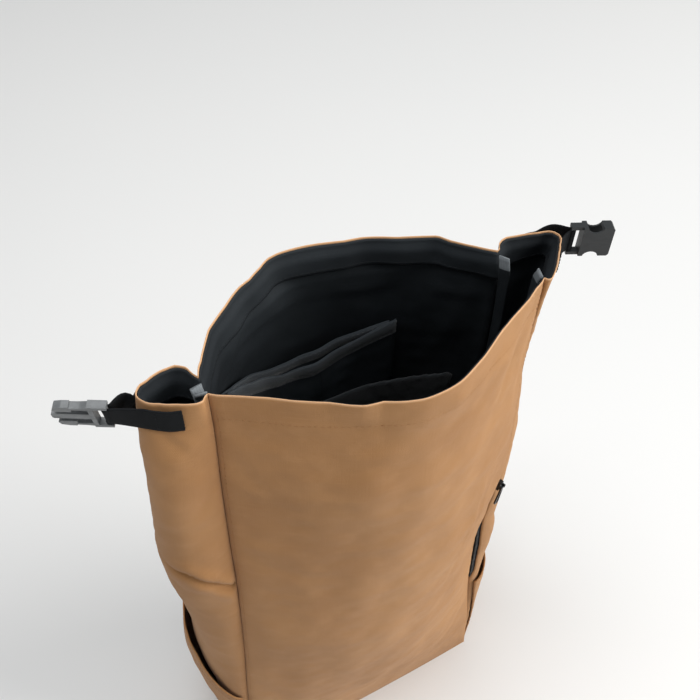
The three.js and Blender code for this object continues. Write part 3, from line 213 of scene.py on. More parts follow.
def smooth(x, low, high):
    t = np.clip((x - low) / (high - low), 0, 1)
    return t * t * (3 - 2 * t)


def unit(vectors):
    return vectors / np.linalg.norm(vectors, axis=-1, keepdims=True)


def rows_at(rows, z):
    """The columns of a table at height shares z, on a smooth curve through its rows."""
    z = np.atleast_1d(np.asarray(z, float))
    last = len(rows) - 1
    i = np.clip(np.searchsorted(rows[1:, 0], z, side="left"), 0, last - 1)
    a, b = rows[i], rows[i + 1]
    before, after = rows[np.maximum(i - 1, 0)], rows[np.minimum(i + 2, last)]
    step = (b[:, 0] - a[:, 0])[:, None]
    t = np.clip((z[:, None] - a[:, :1]) / step, 0, 1)
    slope_a = (b - before) / (b[:, :1] - before[:, :1]) * step
    slope_b = (after - a) / (after[:, :1] - a[:, :1]) * step
    value = (2 * t**3 - 3 * t**2 + 1) * a + (t**3 - 2 * t**2 + t) * slope_a
    return (value + (3 * t**2 - 2 * t**3) * b + (t**3 - t**2) * slope_b)[:, 1:]


def panel_ends(name, z):
    """The corners at which a panel's line starts and ends."""
    left, right = rows_at(LEFT_SEAM, z), rows_at(RIGHT_SEAM, z)
    place = np.array([HALF_WIDTH, HALF_DEPTH])
    corner = {
        "front_left": left[:, [0, 1]] * place,
        "back_left": left[:, [0, 2]] * place,
        "front_right": right[:, [0, 1]] * place,
        "back_right": right[:, [2, 3]] * place,
    }
    order = ("front_left", "front_right", "back_right", "back_left", "front_left")
    at = AROUND.index(name)
    return corner[order[at]], corner[order[at + 1]]


def panel_curve(name, z):
    """Points, outward normals and distances along a panel's line at each height share."""
    start, end = panel_ends(name, z)
    row = rows_at(PANEL_ROWS[name], z)
    along = unit(end - start)
    outward = np.stack([along[:, 1], -along[:, 0]], 1)
    scale = OVER_SCALE[name]
    first = start + outward * row[:, :1] * HALF_DEPTH - along * row[:, 1:2] * scale
    second = end + outward * row[:, 2:3] * HALF_DEPTH + along * row[:, 3:4] * scale
    t = np.linspace(0, 1, CURVE_STEPS + 1)[None, :, None]
    p0, p1, p2, p3 = (p[:, None, :] for p in (start, first, second, end))
    points = (1 - t) ** 3 * p0 + 3 * (1 - t) ** 2 * t * p1 + 3 * (1 - t) * t**2 * p2 + t**3 * p3
    slope = (1 - t) ** 2 * (p1 - p0) + 2 * (1 - t) * t * (p2 - p1) + t**2 * (p3 - p2)
    slope = unit(slope)
    normals = np.stack([slope[..., 1], -slope[..., 0]], 2)
    steps = np.linalg.norm(np.diff(points, axis=1), axis=2)
    distances = np.concatenate([np.zeros((len(steps), 1)), np.cumsum(steps, 1)], 1)
    return points, normals, distances


def mitre(first, second, z):
    """The direction that both panels of a corner share."""
    a = panel_curve(first, z)[1][:, -1]
    b = panel_curve(second, z)[1][:, 0]
    return (a + b) / np.maximum(1 + (a * b).sum(1), 0.35)[:, None]


WAVES = [  # way, phase and height of each
    (rng.uniform(-1, 1, 2) / size, rng.uniform(0, 2 * math.pi), height)
    for size, height, count in ((95, 0.55, 5), (38, 0.22, 6), (17, 0.07, 7))
    for _ in range(count)
]
SIDE_PHASE = {"front": 0.0, "right": 1.7, "back": 3.1, "left": 4.9}


def waves(name, over, up):
    """The cloth's gentle unevenness, the same in each run."""
    total = np.zeros(np.broadcast(over, up).shape)
    for way, phase, height in WAVES:
        angle = 2 * math.pi * (over * way[0] + up * way[1]) + phase + SIDE_PHASE[name]
        total += height * np.sin(angle)
    return total


def crease_lift(over, up, length, crease):
    s0, z0, s1, z1, width, height = crease
    ax, ay = s0 * length, z0 * BAG_HEIGHT
    bx, by = s1 * length, z1 * BAG_HEIGHT
    dx, dy = bx - ax, by - ay
    t = np.clip(((over - ax) * dx + (up - ay) * dy) / (dx * dx + dy * dy), 0, 1)
    away = np.hypot(over - ax - t * dx, up - ay - t * dy)
    fade = np.sin(math.pi * np.clip(t, 0.08, 0.92)) ** 0.5
    return height * fade * np.exp(-((away / width) ** 2))


def tuck_lift(share, up):
    """A soft overhang above the fold line, a narrow deep groove in it and a roll beneath."""
    line = np.interp(share, TUCK[:, 0], TUCK[:, 1]) * BAG_HEIGHT
    above = up - line
    deep = smooth(share, 0.46, 0.82) * 0.86 + 0.14
    fade = smooth(share, 0.06, 0.25) * smooth(1 - share, 0.0, 0.03)
    groove = -7.4 * np.exp(-((above / np.where(above > 0, 2.2, 4.4)) ** 2))
    roll = 3.2 * np.exp(-(((above - 9) / 8.5) ** 2)) + 2.4 * np.exp(-(((above + 15) / 10) ** 2))
    return fade * deep * (groove + roll)


def relief(name, z, share, length):
    """How far the cloth lies outside its plain curve."""
    up = z[:, None] * BAG_HEIGHT
    length = length[:, None]
    over = share * length
    edge = np.minimum(over, length - over)
    foot = smooth(up, 2, 45)
    lift = waves(name, over, up) * smooth(edge, 0, 26) * foot * (1 - 0.6 * smooth(up, 575, 600))
    for crease in CREASES[name]:
        lift = lift + crease_lift(over, up, length, crease) * smooth(edge, 0, 8)
    if name == "left":
        lift = lift + tuck_lift(share, up)
    rim = np.interp(share, RIM[name][:, 0], RIM[name][:, 1]) * smooth(edge, 0, 5)
    lift = lift + rim * smooth(up, BAG_HEIGHT - RIM_REACH, BAG_HEIGHT - 3)
    pucker = 0.35 * np.sin(up / 5.3) * np.sin(up / 2.1 + 1.0) * np.exp(-(((edge - 4) / 4) ** 2))
    return lift + pucker * foot - SEAM_DIP * np.exp(-((edge / SEAM_WIDTH) ** 2)) * foot


def on_wall(name, z, share, inset=0.0):
    """Points and outward normals on a panel, for height shares z and shares along it."""
    z = np.atleast_1d(np.asarray(z, float))
    share = np.atleast_2d(np.asarray(share, float))
    share = np.broadcast_to(share, (len(z), share.shape[1]))
    points, normals, distances = panel_curve(name, z)
    length = distances[:, -1]
    at_start, at_end = mitre(BEFORE[name], name, z), mitre(name, AFTER[name], z)
    place = np.empty(share.shape + (3,))
    way = np.zeros(share.shape + (3,))
    for r in range(len(z)):
        d = share[r] * length[r]
        for axis in (0, 1):
            place[r, :, axis] = np.interp(d, distances[r], points[r, :, axis])
            way[r, :, axis] = np.interp(d, distances[r], normals[r, :, axis])
        way[r] = unit(way[r])
        near = 1 - smooth(d, 0, MITRE_REACH)[:, None]
        far = 1 - smooth(length[r] - d, 0, MITRE_REACH)[:, None]
        way[r, :, :2] = way[r, :, :2] * (1 - near - far) + at_start[r] * near + at_end[r] * far
    place[..., 2] = z[:, None] * BAG_HEIGHT
    return place + way * (relief(name, z, share, length) - inset)[..., None], way


def panel_length(name, z):
    return panel_curve(name, np.atleast_1d(z))[2][:, -1]


# Materials
def colour(channels):
    """The shader's linear colour for red, green and blue from 0 to 255."""
    def linear(c):
        c /= 255
        return c / 12.92 if c <= 0.04045 else ((c + 0.055) / 1.055) ** 2.4

    return (*map(linear, channels), 1.0)


class Nodes:
    """Short calls for building a material's nodes."""

    def __init__(self, name):
        self.material = bpy.data.materials.new(name)
        self.material.use_nodes = True
        self.tree = self.material.node_tree
        self.shader = self.tree.nodes["Principled BSDF"]

    def add(self, kind, **values):
        node = self.tree.nodes.new(kind)
        for key, value in values.items():
            setattr(node, key, value)
        return node

    def join(self, source, target):
        self.tree.links.new(source, target)

    def feed(self, value, socket):
        if isinstance(value, (int, float, tuple)):
            socket.default_value = value
        else:
            self.join(value, socket)

    def math(self, operation, a, b=None):
        node = self.add("ShaderNodeMath", operation=operation)
        for socket, value in zip(node.inputs, (a, b)):
            if value is not None:
                self.feed(value, socket)
        return node.outputs[0]

    def noise(self, vector, scale, detail=3.0, stretch=(1, 1, 1), rough=0.5):
        mapping = self.add("ShaderNodeMapping")
        mapping.inputs["Scale"].default_value = stretch
        self.join(vector, mapping.inputs["Vector"])
        node = self.add("ShaderNodeTexNoise")
        node.inputs["Scale"].default_value = scale
        node.inputs["Detail"].default_value = detail
        node.inputs["Roughness"].default_value = rough
        self.join(mapping.outputs[0], node.inputs["Vector"])
        return node.outputs["Fac"]

    def ramp(self, value, low, high, to_low=0.0, to_high=1.0):
        node = self.add("ShaderNodeMapRange")
        for key, number in zip(
            ("From Min", "From Max", "To Min", "To Max"), (low, high, to_low, to_high)
        ):
            node.inputs[key].default_value = number
        self.join(value, node.inputs["Value"])
        return node.outputs[0]

    def mix(self, factor, a, b):
        node = self.add("ShaderNodeMix", data_type="RGBA")
        for socket, value in zip((node.inputs[0], node.inputs[6], node.inputs[7]), (factor, a, b)):
            self.feed(value, socket)
        return node.outputs[2]

    def bump(self, height, strength, distance, normal=None):
        node = self.add("ShaderNodeBump")
        node.inputs["Strength"].default_value = strength
        node.inputs["Distance"].default_value = distance
        self.join(height, node.inputs["Height"])
        if normal is not None:
            self.join(normal, node.inputs["Normal"])
        return node.outputs[0]


WORN_FROM = 598.4  # height above which the canvas edge is rubbed light


def cloth_look(name, base, dark, light, pitch, rough, depth, sheen, flat=True, worn=None):
    """Plain weave with uneven threads, soft blotches, slubs and fuzz. flat cloth has UVs in metres."""
    base, dark, light = map(colour, (base, dark, light))
    n = Nodes(name)
    space = n.add("ShaderNodeTexCoord").outputs["UV" if flat else "Object"]
    split = n.add("ShaderNodeSeparateXYZ")
    n.join(space, split.inputs[0])
    turns = 2 * math.pi / pitch
    across = split.outputs["X"]
    along = split.outputs["Y" if flat else "Z"]
    warp = n.math("SINE", n.math("MULTIPLY", across, turns))
    weft = n.math("SINE", n.math("MULTIPLY", along, turns))
    weave = n.math("MULTIPLY", warp, weft)
    blotch = n.noise(space, 9.0, 4.0)
    cloud = n.noise(space, 38.0, 5.0, rough=0.6)
    slub_across = n.noise(space, 1.0, 2.0, (28, 900, 900))
    slub_along = n.noise(space, 1.0, 2.0, (900, 28, 28))
    fuzz = n.noise(space, 1500.0, 2.0)
    tone = n.mix(n.ramp(blotch, 0.35, 0.65), dark, base)
    tone = n.mix(n.ramp(cloud, 0.50, 0.85, 0.0, 0.35), tone, light)
    tone = n.mix(n.ramp(slub_across, 0.60, 0.78, 0.0, 0.22), tone, light)
    tone = n.mix(n.ramp(slub_along, 0.62, 0.80, 0.0, 0.16), tone, dark)
    tone = n.mix(n.ramp(weave, -1.0, 1.0, 0.14, 0.0), tone, dark)
    if worn is not None:
        tone = n.mix(n.ramp(along, WORN_FROM * MM, BAG_HEIGHT * MM, 0.0, 0.8), tone, worn)
    n.join(tone, n.shader.inputs["Base Color"])
    n.shader.inputs["Roughness"].default_value = rough
    n.shader.inputs["Sheen Weight"].default_value = sheen
    n.shader.inputs["Sheen Roughness"].default_value = 0.5
    n.shader.inputs["Specular IOR Level"].default_value = 0.25
    threads = n.bump(weave, 0.5, depth)
    slubs = n.bump(n.math("ADD", slub_across, slub_along), 0.4, depth, threads)
    n.join(n.bump(fuzz, 0.25, depth, slubs), n.shader.inputs["Normal"])
    return n.material


def web_look(name, base, dark, light, pitch):
    """Ribbed webbing: fine ribs along its length and a slanted twill across them."""
    base, dark, light = map(colour, (base, dark, light))
    n = Nodes(name)
    space = n.add("ShaderNodeTexCoord").outputs["UV"]
    split = n.add("ShaderNodeSeparateXYZ")
    n.join(space, split.inputs[0])
    turns = 2 * math.pi / pitch
    ribs = n.math("SINE", n.math("MULTIPLY", split.outputs["Y"], turns))
    slant = n.math("ADD", n.math("MULTIPLY", split.outputs["X"], turns * 1.3), ribs)
    twill = n.math("SINE", slant)
    tone = n.mix(n.ramp(n.noise(space, 60.0, 4.0), 0.35, 0.7), dark, base)
    tone = n.mix(n.ramp(n.math("ADD", ribs, twill), -0.5, 2.0, 0.0, 0.2), tone, light)
    n.join(tone, n.shader.inputs["Base Color"])
    n.shader.inputs["Roughness"].default_value = 0.8
    n.shader.inputs["Specular IOR Level"].default_value = 0.15
    ribbing = n.bump(ribs, 0.3, 0.00015)
    n.join(n.bump(twill, 0.2, 0.0001, ribbing), n.shader.inputs["Normal"])
    return n.material


def hard_look(name, base, dark, rough, metal, grain):
    """Moulded or coated hard parts: fine grain, faint rubs and uneven gloss."""
    base, dark = colour(base), colour(dark)
    n = Nodes(name)
    space = n.add("ShaderNodeTexCoord").outputs["Object"]
    grains = n.noise(space, 2600.0, 2.0)
    rubs = n.noise(space, 60.0, 6.0, (1, 1, 4), 0.7)
    n.join(n.mix(n.ramp(rubs, 0.35, 0.7), dark, base), n.shader.inputs["Base Color"])
    n.join(n.ramp(rubs, 0.3, 0.7, rough + 0.12, rough - 0.06), n.shader.inputs["Roughness"])
    n.shader.inputs["Metallic"].default_value = metal
    n.join(n.bump(grains, grain, 0.00008), n.shader.inputs["Normal"])
    return n.material


# Cloth: base, dark and light colour, thread pitch, roughness, depth of the weave, sheen
TANS = ((177, 130, 83), (164, 118, 73), (200, 153, 106))
CANVAS_WEAVE = (0.0011, 0.86, 0.00022, 0.12)
GREYS = ((58, 64, 69), (46, 51, 56))
CANVAS = cloth_look("tan_canvas", *TANS, *CANVAS_WEAVE, worn=colour((214, 170, 130)))
CANVAS_SOLID = cloth_look("tan_canvas_solid", *TANS, *CANVAS_WEAVE, flat=False)
LINING = cloth_look(
    "black_lining", (38, 43, 47), (30, 34, 38), (48, 54, 59), 0.0007, 0.72, 0.00012, 0
)
# The pocket cloth is the lining's black painted lighter grey: painted light against the shade that falls on
# the pockets deep in the bag
POCKET = cloth_look("black_pocket", *GREYS, (74, 81, 86), 0.0007, 0.66, 0.00012, 0)
HEM = cloth_look("black_hem", *GREYS, (80, 86, 91), 0.0007, 0.52, 0.00012, 0.3)
LINING_SOLID = cloth_look(
    "black_lining_solid", (30, 35, 39), (23, 27, 31), (42, 48, 53), 0.0007, 0.58, 0.00012, 0.25,
    flat=False,
)
MESH_SOLID = cloth_look(
    "black_spacer_cloth", (30, 32, 35), (16, 17, 19), (52, 55, 58), 0.003, 0.85, 0.0007, 0.2,
    flat=False,
)
# Webbing and thread: the three colours, rib pitch
TAPE = web_look("grey_tape", (118, 123, 127), (92, 97, 101), (150, 155, 158), 0.0011)
WEBBING = web_look("black_webbing", (20, 22, 25), (15, 17, 19), (30, 33, 36), 0.0011)
THREAD_GREY = web_look("grey_thread", (92, 96, 99), (72, 75, 78), (118, 122, 125), 0.0006)
THREAD_TAN = web_look("tan_thread", (168, 123, 84), (152, 108, 72), (184, 140, 100), 0.0006)
THREAD_BLACK = web_look("black_thread", (40, 42, 45), (28, 30, 32), (60, 63, 66), 0.0006)
# Hard parts: base and dark colour, roughness, metal, grain
PLASTIC = hard_look("dark_plastic", (40, 43, 45), (33, 36, 38), 0.46, 0, 0.5)
# The male buckle's plastic: the same dark plastic painted light grey, a painted highlight standing in for
# its shine
PLASTIC_PAINTED_HIGHLIGHT = hard_look("plastic_painted_highlight", (118, 121, 123), (92, 95, 97), 0.38, 0, 0.5)
METAL = hard_look("coated_metal", (70, 72, 75), (34, 35, 37), 0.3, 0.85, 0.2)


# Meshes
def piece(name, vertices, faces, look, slot, replaces=(), body="bag", uv=None, soft=True):
    """A named mesh from points in mm, riding on a body, in place of CAD nodes."""
    mesh = bpy.data.meshes.new(name)
    mesh.from_pydata((np.asarray(vertices, float) * MM).tolist(), [], [list(f) for f in faces])
    mesh.update()
    if uv is not None:
        layer = mesh.uv_layers.new(name="UVMap")
        corners = np.empty(len(mesh.loops), int)
        mesh.loops.foreach_get("vertex_index", corners)
        layer.data.foreach_set("uv", (np.asarray(uv, float)[corners] * MM).ravel())
    mesh.polygons.foreach_set("use_smooth", [soft] * len(mesh.polygons))
    mesh.materials.append(look)
    obj = bpy.data.objects.new(name, mesh)
    bpy.context.scene.collection.objects.link(obj)
    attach(obj, body)
    if replaces:
        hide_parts(*replaces)
    return obj


def grid_faces(rows, columns, start=0, flip=False):
    r, c = np.meshgrid(np.arange(rows - 1), np.arange(columns - 1), indexing="ij")
    a = start + r * columns + c
    quads = np.stack([a, a + 1, a + 1 + columns, a + columns], -1).reshape(-1, 4)
    return quads[:, ::-1] if flip else quads


def cloth_solid(outer, inner, uv, round_top=0.0):
    """Vertices, faces and UVs of a sheet with two grids of points, closed around its edges.
    round_top lifts a middle row between the two grids, so that the top edge is a folded one."""
    rows, columns = outer.shape[:2]
    ridge = (outer[-1] + inner[-1]) / 2
    ridge[:, 2] += round_top
    vertices = np.concatenate([outer.reshape(-1, 3), inner.reshape(-1, 3), ridge])
    total = rows * columns
    faces = [grid_faces(rows, columns), grid_faces(rows, columns, total, True)]
    c = np.arange(columns - 1)
    r = np.arange(rows - 1) * columns
    top_out, top_in, top = (rows - 1) * columns + c, total + (rows - 1) * columns + c, 2 * total + c
    faces.append(np.stack([top_out, top_out + 1, top + 1, top], -1))
    faces.append(np.stack([top, top + 1, top_in + 1, top_in], -1))
    faces.append(np.stack([c + 1, c, total + c, total + c + 1], -1))
    faces.append(np.stack([r, r + columns, total + r + columns, total + r], -1))
    end = r + columns - 1
    faces.append(np.stack([end + columns, end, total + end, total + end + columns], -1))
    uv = np.concatenate([uv.reshape(-1, 2), uv.reshape(-1, 2), uv[-1].reshape(-1, 2)])
    return vertices, np.concatenate(faces), uv


def loop_solid(outer, inner, uv, floor):
    """A band of cloth around the bag, from two grids whose last column meets the first."""
    rows, columns = outer.shape[:2]
    total = rows * columns
    c = np.arange(columns)
    d = (c + 1) % columns
    faces = []
    for r in range(rows - 1):
        low, high = r * columns, (r + 1) * columns
        faces.append(np.stack([low + c, low + d, high + d, high + c], -1))
        faces.append(total + np.stack([low + c, high + c, high + d, low + d], -1))
    top = (rows - 1) * columns
    faces.append(np.stack([top + c, top + d, total + top + d, total + top + c], -1))
    vertices = np.concatenate([outer.reshape(-1, 3), inner.reshape(-1, 3)])
    uv = np.concatenate([uv.reshape(-1, 2), uv.reshape(-1, 2)])
    faces = np.concatenate(faces).tolist()
    if floor:
        middle = len(vertices)
        vertices = np.concatenate([vertices, [outer[0].mean(0)], [inner[0].mean(0)]])
        uv = np.concatenate([uv, [[0, 0]], [[0, 0]]])
        faces += [[middle, j, i] for i, j in zip(c.tolist(), d.tolist())]
        faces += [[middle + 1, total + i, total + j] for i, j in zip(c.tolist(), d.tolist())]
    else:
        faces += np.stack([d, c, total + c, total + d], -1).tolist()
    return vertices, faces, uv


def levels(low, high, step=GRID):
    return np.linspace(low, high, max(int(round((high - low) / step)), 2) + 1) / BAG_HEIGHT


def spread(name, z, step=GRID):
    """Even shares along a panel, closer together at its two seams."""
    t = np.linspace(0, 1, int(panel_length(name, z).max() / step) + 1)
    return t - 0.11 * np.sin(2 * math.pi * t) / (2 * math.pi) * 1.6


def flat_uv(name, z, share):
    """UVs of the cloth laid flat: distance along the panel and height, in mm."""
    length = panel_length(name, z)[:, None]
    share = np.broadcast_to(share, (len(z), np.shape(share)[-1]))
    return np.stack([share * length, np.broadcast_to(z[:, None] * BAG_HEIGHT, share.shape)], -1)


def sheet(name, solid, look, slot, *replaces):
    """A piece from its points, faces and UVs."""
    return piece(name, solid[0], solid[1], look, slot, replaces, uv=solid[2])


def run_along(path):
    """Distances along a path from its first point."""
    return np.concatenate([[0], np.cumsum(np.linalg.norm(np.diff(path, axis=0), axis=1))])


def rounded(value, power):
    """A cosine or sine bent towards a rounded box."""
    return np.sign(value) * np.abs(value) ** power


def tube_faces(rows, columns):
    """Faces of a closed tube, row after row, with a cap at each end."""
    faces = []
    for low in range(0, (rows - 1) * columns, columns):
        for c in range(columns):
            d = (c + 1) % columns
            faces.append((low + c, low + d, low + columns + d, low + columns + c))
    faces.append(tuple(range(columns))[::-1])
    faces.append(tuple((rows - 1) * columns + c for c in range(columns)))
    return faces


# The four walls of the shell
def zip_opening(z):
    up = (z * BAG_HEIGHT - ZIP_FOOT) / ZIP_LENGTH
    inside = (up > 0) & (up < 1)
    return np.where(inside, np.interp(up, ZIP_ROWS[:, 0], ZIP_ROWS[:, 1]) * ZIP_WIDTH, 0)


def shell_wall(name, node):
    z = levels(BASE_TOP, BAG_HEIGHT)
    share = spread(name, z)
    length = panel_length(name, z)
    share = 0.15 / length[:, None] + share[None] * (1 - 0.3 / length[:, None])
    if name == "right":
        share = 1 - (1 - share) * (1 - zip_opening(z) / length)[:, None]
    thin = (SHELL_WALL - EDGE_WALL) * smooth(z * BAG_HEIGHT, BAG_HEIGHT - EDGE_REACH, BAG_HEIGHT)
    outer = on_wall(name, z, share, 0.0)[0]
    inner = on_wall(name, z, share, (SHELL_WALL - thin)[:, None])[0]
    solid = cloth_solid(outer, inner, flat_uv(name, z, share), 0.5)
    sheet(f"{name}_cloth", solid, CANVAS, "canvas", node)


SHELL_NODES = ("front_panel", "right_gusset", "back_panel", "left_gusset")
for name, node in zip(AROUND, SHELL_NODES):
    shell_wall(name, node)


def ring(z, inset, slack=None):
    """Points around the bag at each height share, inset from the outside of the cloth."""
    parts, uvs, start = [], [], 0.0
    for name in AROUND:
        share = spread(name, z, step=RING_GRID)[:-1]
        extra = 0.0 if slack is None else slack(name, z, share)
        parts.append(on_wall(name, z, share, inset + extra)[0])
        uv = flat_uv(name, z, share)
        uv[..., 0] += start
        start += float(panel_length(name, z).max())
        uvs.append(uv)
    return np.concatenate(parts, 1), np.concatenate(uvs, 1)


def base_cloth():
    edge = ring(np.array([0.0]), 0.0)[0][0]
    edge[:, 2] = 0
    count = len(edge)
    rings = []
    for lift, out in ((0.0, 0.0), (1.0, 0.35), (3.0, 0.0)):
        level = edge + unit(edge) * out
        level[:, 2] = lift
        rings.append(level)
    vertices = np.concatenate(rings + [[[0, 0, 0]], [[0, 0, 3.0]]])
    faces = []
    for i in range(count):
        j = (i + 1) % count
        faces += [(i, j, count + j, count + i), (count + i, count + j, 2 * count + j, 2 * count + i)]
        faces += [(3 * count, j, i), (3 * count + 1, 2 * count + i, 2 * count + j)]
    sheet("base_cloth", (vertices, faces, vertices[:, :2]), CANVAS, "canvas", "base_panel")


base_cloth()


# Lining, which hangs a little slack where no pocket or facing holds it
def lining_slack(name, z, share):
    up = z[:, None] * BAG_HEIGHT
    length = panel_length(name, z)[:, None]
    over = share * length
    edge = np.minimum(over, length - over)
    free = smooth(edge, 4, 30) * smooth(up, 15, 60)
    if name == "back":
        free = free * smooth(up, 540, 552) * (1 - smooth(up, 566, 574))
    else:
        free = free * (1 - smooth(up, 556, 574))
    lumps = 1.0 + np.sin(over / 21 + 1.3 * np.sin(up / 47)) * np.sin(up / 33 + over / 57)
    return 1.7 * free * lumps


z = levels(BASE_TOP, LINING_TOP, RING_GRID)
lining_out, lining_uv = ring(z, LINING_OUT, lining_slack)
lining_in, _ = ring(z, LINING_IN, lining_slack)
lining_in[0, :, 2] += 1.0
sheet("lining_cloth", loop_solid(lining_out, lining_in, lining_uv, True), LINING, "lining", "lining")


def facing_slack(name, z, share):
    """The facing's free lower edge waves a little off the lining."""
    below = (BAG_HEIGHT - z[:, None] * BAG_HEIGHT) / HEM_DEPTH
    over = share * panel_length(name, z)[:, None]
    wave = 0.45 * below * (1 + np.sin(over / 13 + SIDE_PHASE[name])) + 0.25 * below
    return wave - EDGE_PULL * smooth(z[:, None] * BAG_HEIGHT, EDGE_PULL_FROM, EDGE_PULL_TO)


z = levels(BAG_HEIGHT - HEM_DEPTH, FACING_TOP, 2.4)
facing_out, facing_uv = ring(z, FACING_OUT, facing_slack)
facing_in, _ = ring(z, FACING_IN, facing_slack)
solid = loop_solid(facing_out, facing_in, facing_uv, False)
sheet("facing_cloth", solid, LINING, "lining", "mouth_facing")


# Bound corner seams: a folded tape that stands into the bag
TABS = (  # name, panels on both sides, way at the mouth in degrees, root outside the line
    ("front_left", "left", "front", 165, 0.0),
    ("front_right", "front", "right", 75, 0.9),
    ("back_right", "right", "back", -61, 0.0),
    ("back_left", "back", "left", 194, 0.0),
)
TAB_REACH, TAB_WALL = 8.6, 1.7
TAB_FOOT, TAB_GREY, TAB_TOP = 12.0, 586.0, 598.2


def seam_tab(name, first, second, mouth_angle, root):
    z = levels(TAB_FOOT, TAB_TOP)
    inward = -unit(mitre(first, second, z))
    mouth = np.array([math.cos(math.radians(mouth_angle)), math.sin(math.radians(mouth_angle))])
    turn = smooth(z, 0.66, 0.95)[:, None]
    way = unit(inward * (1 - turn) + mouth * turn)
    side = np.stack([-way[:, 1], way[:, 0]], 1)
    up = z * BAG_HEIGHT
    pull = EDGE_PULL * smooth(up, EDGE_PULL_FROM, EDGE_PULL_TO)
    seam = on_wall(second, z, 0.0, (FACING_IN + 0.3 + TAB_WALL / 2 - pull)[:, None])[0][:, 0, :2]
    sway = (0.5 * np.sin(up / 19 + mouth_angle) + 0.3 * np.sin(up / 7))[:, None]
    half = (TAB_REACH + root) / 2
    rounds = []
    for angle in np.linspace(0, 2 * math.pi, 13)[:-1]:
        reach = half - root + half * rounded(math.cos(angle), 0.45)
        thick = TAB_WALL / 2 * rounded(math.sin(angle), 0.45)
        bend = sway * smooth(np.array(reach), 1, TAB_REACH)
        xy = seam + way * reach + side * (thick + bend)
        rounds.append(np.column_stack([xy, up]))
    rings = np.stack(rounds, 1)
    rows, columns = rings.shape[:2]
    uv = np.stack([np.repeat(up, columns), np.tile(np.linspace(0, 20, columns), rows)], -1)
    solid = (rings.reshape(-1, 3), tube_faces(rows, columns), uv)
    obj = sheet(f"seam_tape_{name}", solid, TAPE, "binding", f"seam_binding_{name}")
    obj.data.materials.append(LINING)
    low = [up[i // columns] < TAB_GREY for i in range((rows - 1) * columns)] + [True, False]
    obj.data.polygons.foreach_set("material_index", [int(value) for value in low])


for row in TABS:
    seam_tab(*row)


# Pockets on the back wall
def sag(share, span, rise):
    t = np.clip((share - span[0]) / (span[1] - span[0]), 0, 1)
    return np.sin(math.pi * t) ** 0.7 * np.sin(math.pi / 2 * rise) ** 0.6


def wall_pocket(span, slack_span, foot, top_rows, wall, edge, middle, ripple, columns_step):
    """Outer and inner grids of a pocket whose mouth follows top_rows."""
    count = int(BACK_RUN * (span[1] - span[0]) / columns_step)
    share = np.linspace(span[0], span[1], count + 1)
    across = np.linspace(0, 1, count + 1)
    top = rows_at(top_rows, across)[:, 0] * BAG_HEIGHT
    rises = np.linspace(0, 1, int((top.mean() - foot) / columns_step) + 1)
    outer = np.empty((len(rises), count + 1, 3))
    inner = np.empty_like(outer)
    uv = np.empty((len(rises), count + 1, 2))
    for c in range(count + 1):
        z = (foot + (top[c] - foot) * rises) / BAG_HEIGHT
        slack = sag(share[c], slack_span, rises)
        inset = edge + (middle - edge) * slack
        inset = inset + ripple(across[c], rises, (middle - edge) * slack)
        outer[:, c] = on_wall("back", z, share[c], inset[:, None])[0][:, 0]
        inner[:, c] = on_wall("back", z, share[c], inset[:, None] + wall)[0][:, 0]
        uv[:, c, 0] = share[c] * BACK_RUN
        uv[:, c, 1] = z * BAG_HEIGHT
    return outer, inner, uv


def tablet_ripple(across, rises, room):
    wave = np.sin(across * 19 + 2 * rises) + 0.6 * np.sin(across * 37 - 5 * rises)
    return 0.10 * room * wave * smooth(rises, 0.3, 1.0) * 0.9


def slip_ripple(across, rises, room):
    wave = np.sin(across * 13 + 2.6 * rises + 0.8) + 0.5 * np.sin(across * 31 + 7 * rises)
    folds = 0.7 * np.sin(rises * 23 + across * 6) * smooth(across, 0.1, 0.4)
    return 0.07 * room * (wave + folds) * smooth(rises, 0.1, 0.9)


tablet = wall_pocket(
    TABLET_SPAN, (SLIP_SPAN[0], TABLET_SPAN[1]), TABLET_FOOT, TABLET_TOP, TABLET_WALL,
    TABLET_EDGE, TABLET_MIDDLE, tablet_ripple, POCKET_STEP,
)
slip = wall_pocket(
    SLIP_SPAN, (SLIP_SPAN[0], TABLET_SPAN[1]), SLIP_FOOT, SLIP_TOP, SLIP_WALL,
    SLIP_EDGE, SLIP_MIDDLE, slip_ripple, POCKET_STEP,
)
for name, grids in (("tablet_sleeve", tablet), ("slip_pocket", slip)):
    sheet(f"{name}_cloth", cloth_solid(*grids, 0.5), POCKET, "lining", name)


def facing_front(normals):
    """Unit normals, turned so that the middle one looks to the front."""
    normals = unit(normals)
    return -normals if normals[len(normals) // 2, 1] > 0 else normals


def row_along(grids, down, lift):
    """A line of points on a pocket's inner face, down mm below its mouth, lifted off it."""
    inner = grids[1]
    step = np.linalg.norm(inner[-1] - inner[-2], axis=1).mean()
    r = len(inner) - 1 - down / step
    low = int(math.floor(r))
    t = r - low
    line = inner[low] * (1 - t) + inner[min(low + 1, len(inner) - 1)] * t
    normals = facing_front(np.cross(np.gradient(line, axis=0), inner[low] - inner[low - 1]))
    return line + normals * lift, normals


def band(name, grids, low, high, lift):
    """A narrow folded tape over a pocket's mouth."""
    rows = [(low, 0.15), (low - 0.6, lift), (high + 0.6, lift), (high, 0.15)]
    outer = np.stack([row_along(grids, down, height)[0] for down, height in rows])
    inner = np.stack([row_along(grids, down, 0.02)[0] for down, _ in rows])
    across = run_along(outer[0])
    uv = np.stack([np.tile(across, (4, 1)), np.repeat([[0], [2], [8], [10]], len(across), 1)], -1)
    sheet(name, cloth_solid(outer, inner, uv), HEM, "lining")


band("tablet_sleeve_binding", tablet, 11.0, 0.4, 0.9)
band("slip_pocket_hem", slip, 15.0, 0.4, 0.7)


# Stitches
def between(at, total, points):
    """The point of a line at distance at, with total the distances of its points."""
    return np.array([np.interp(at, total, points[:, k]) for k in range(3)])


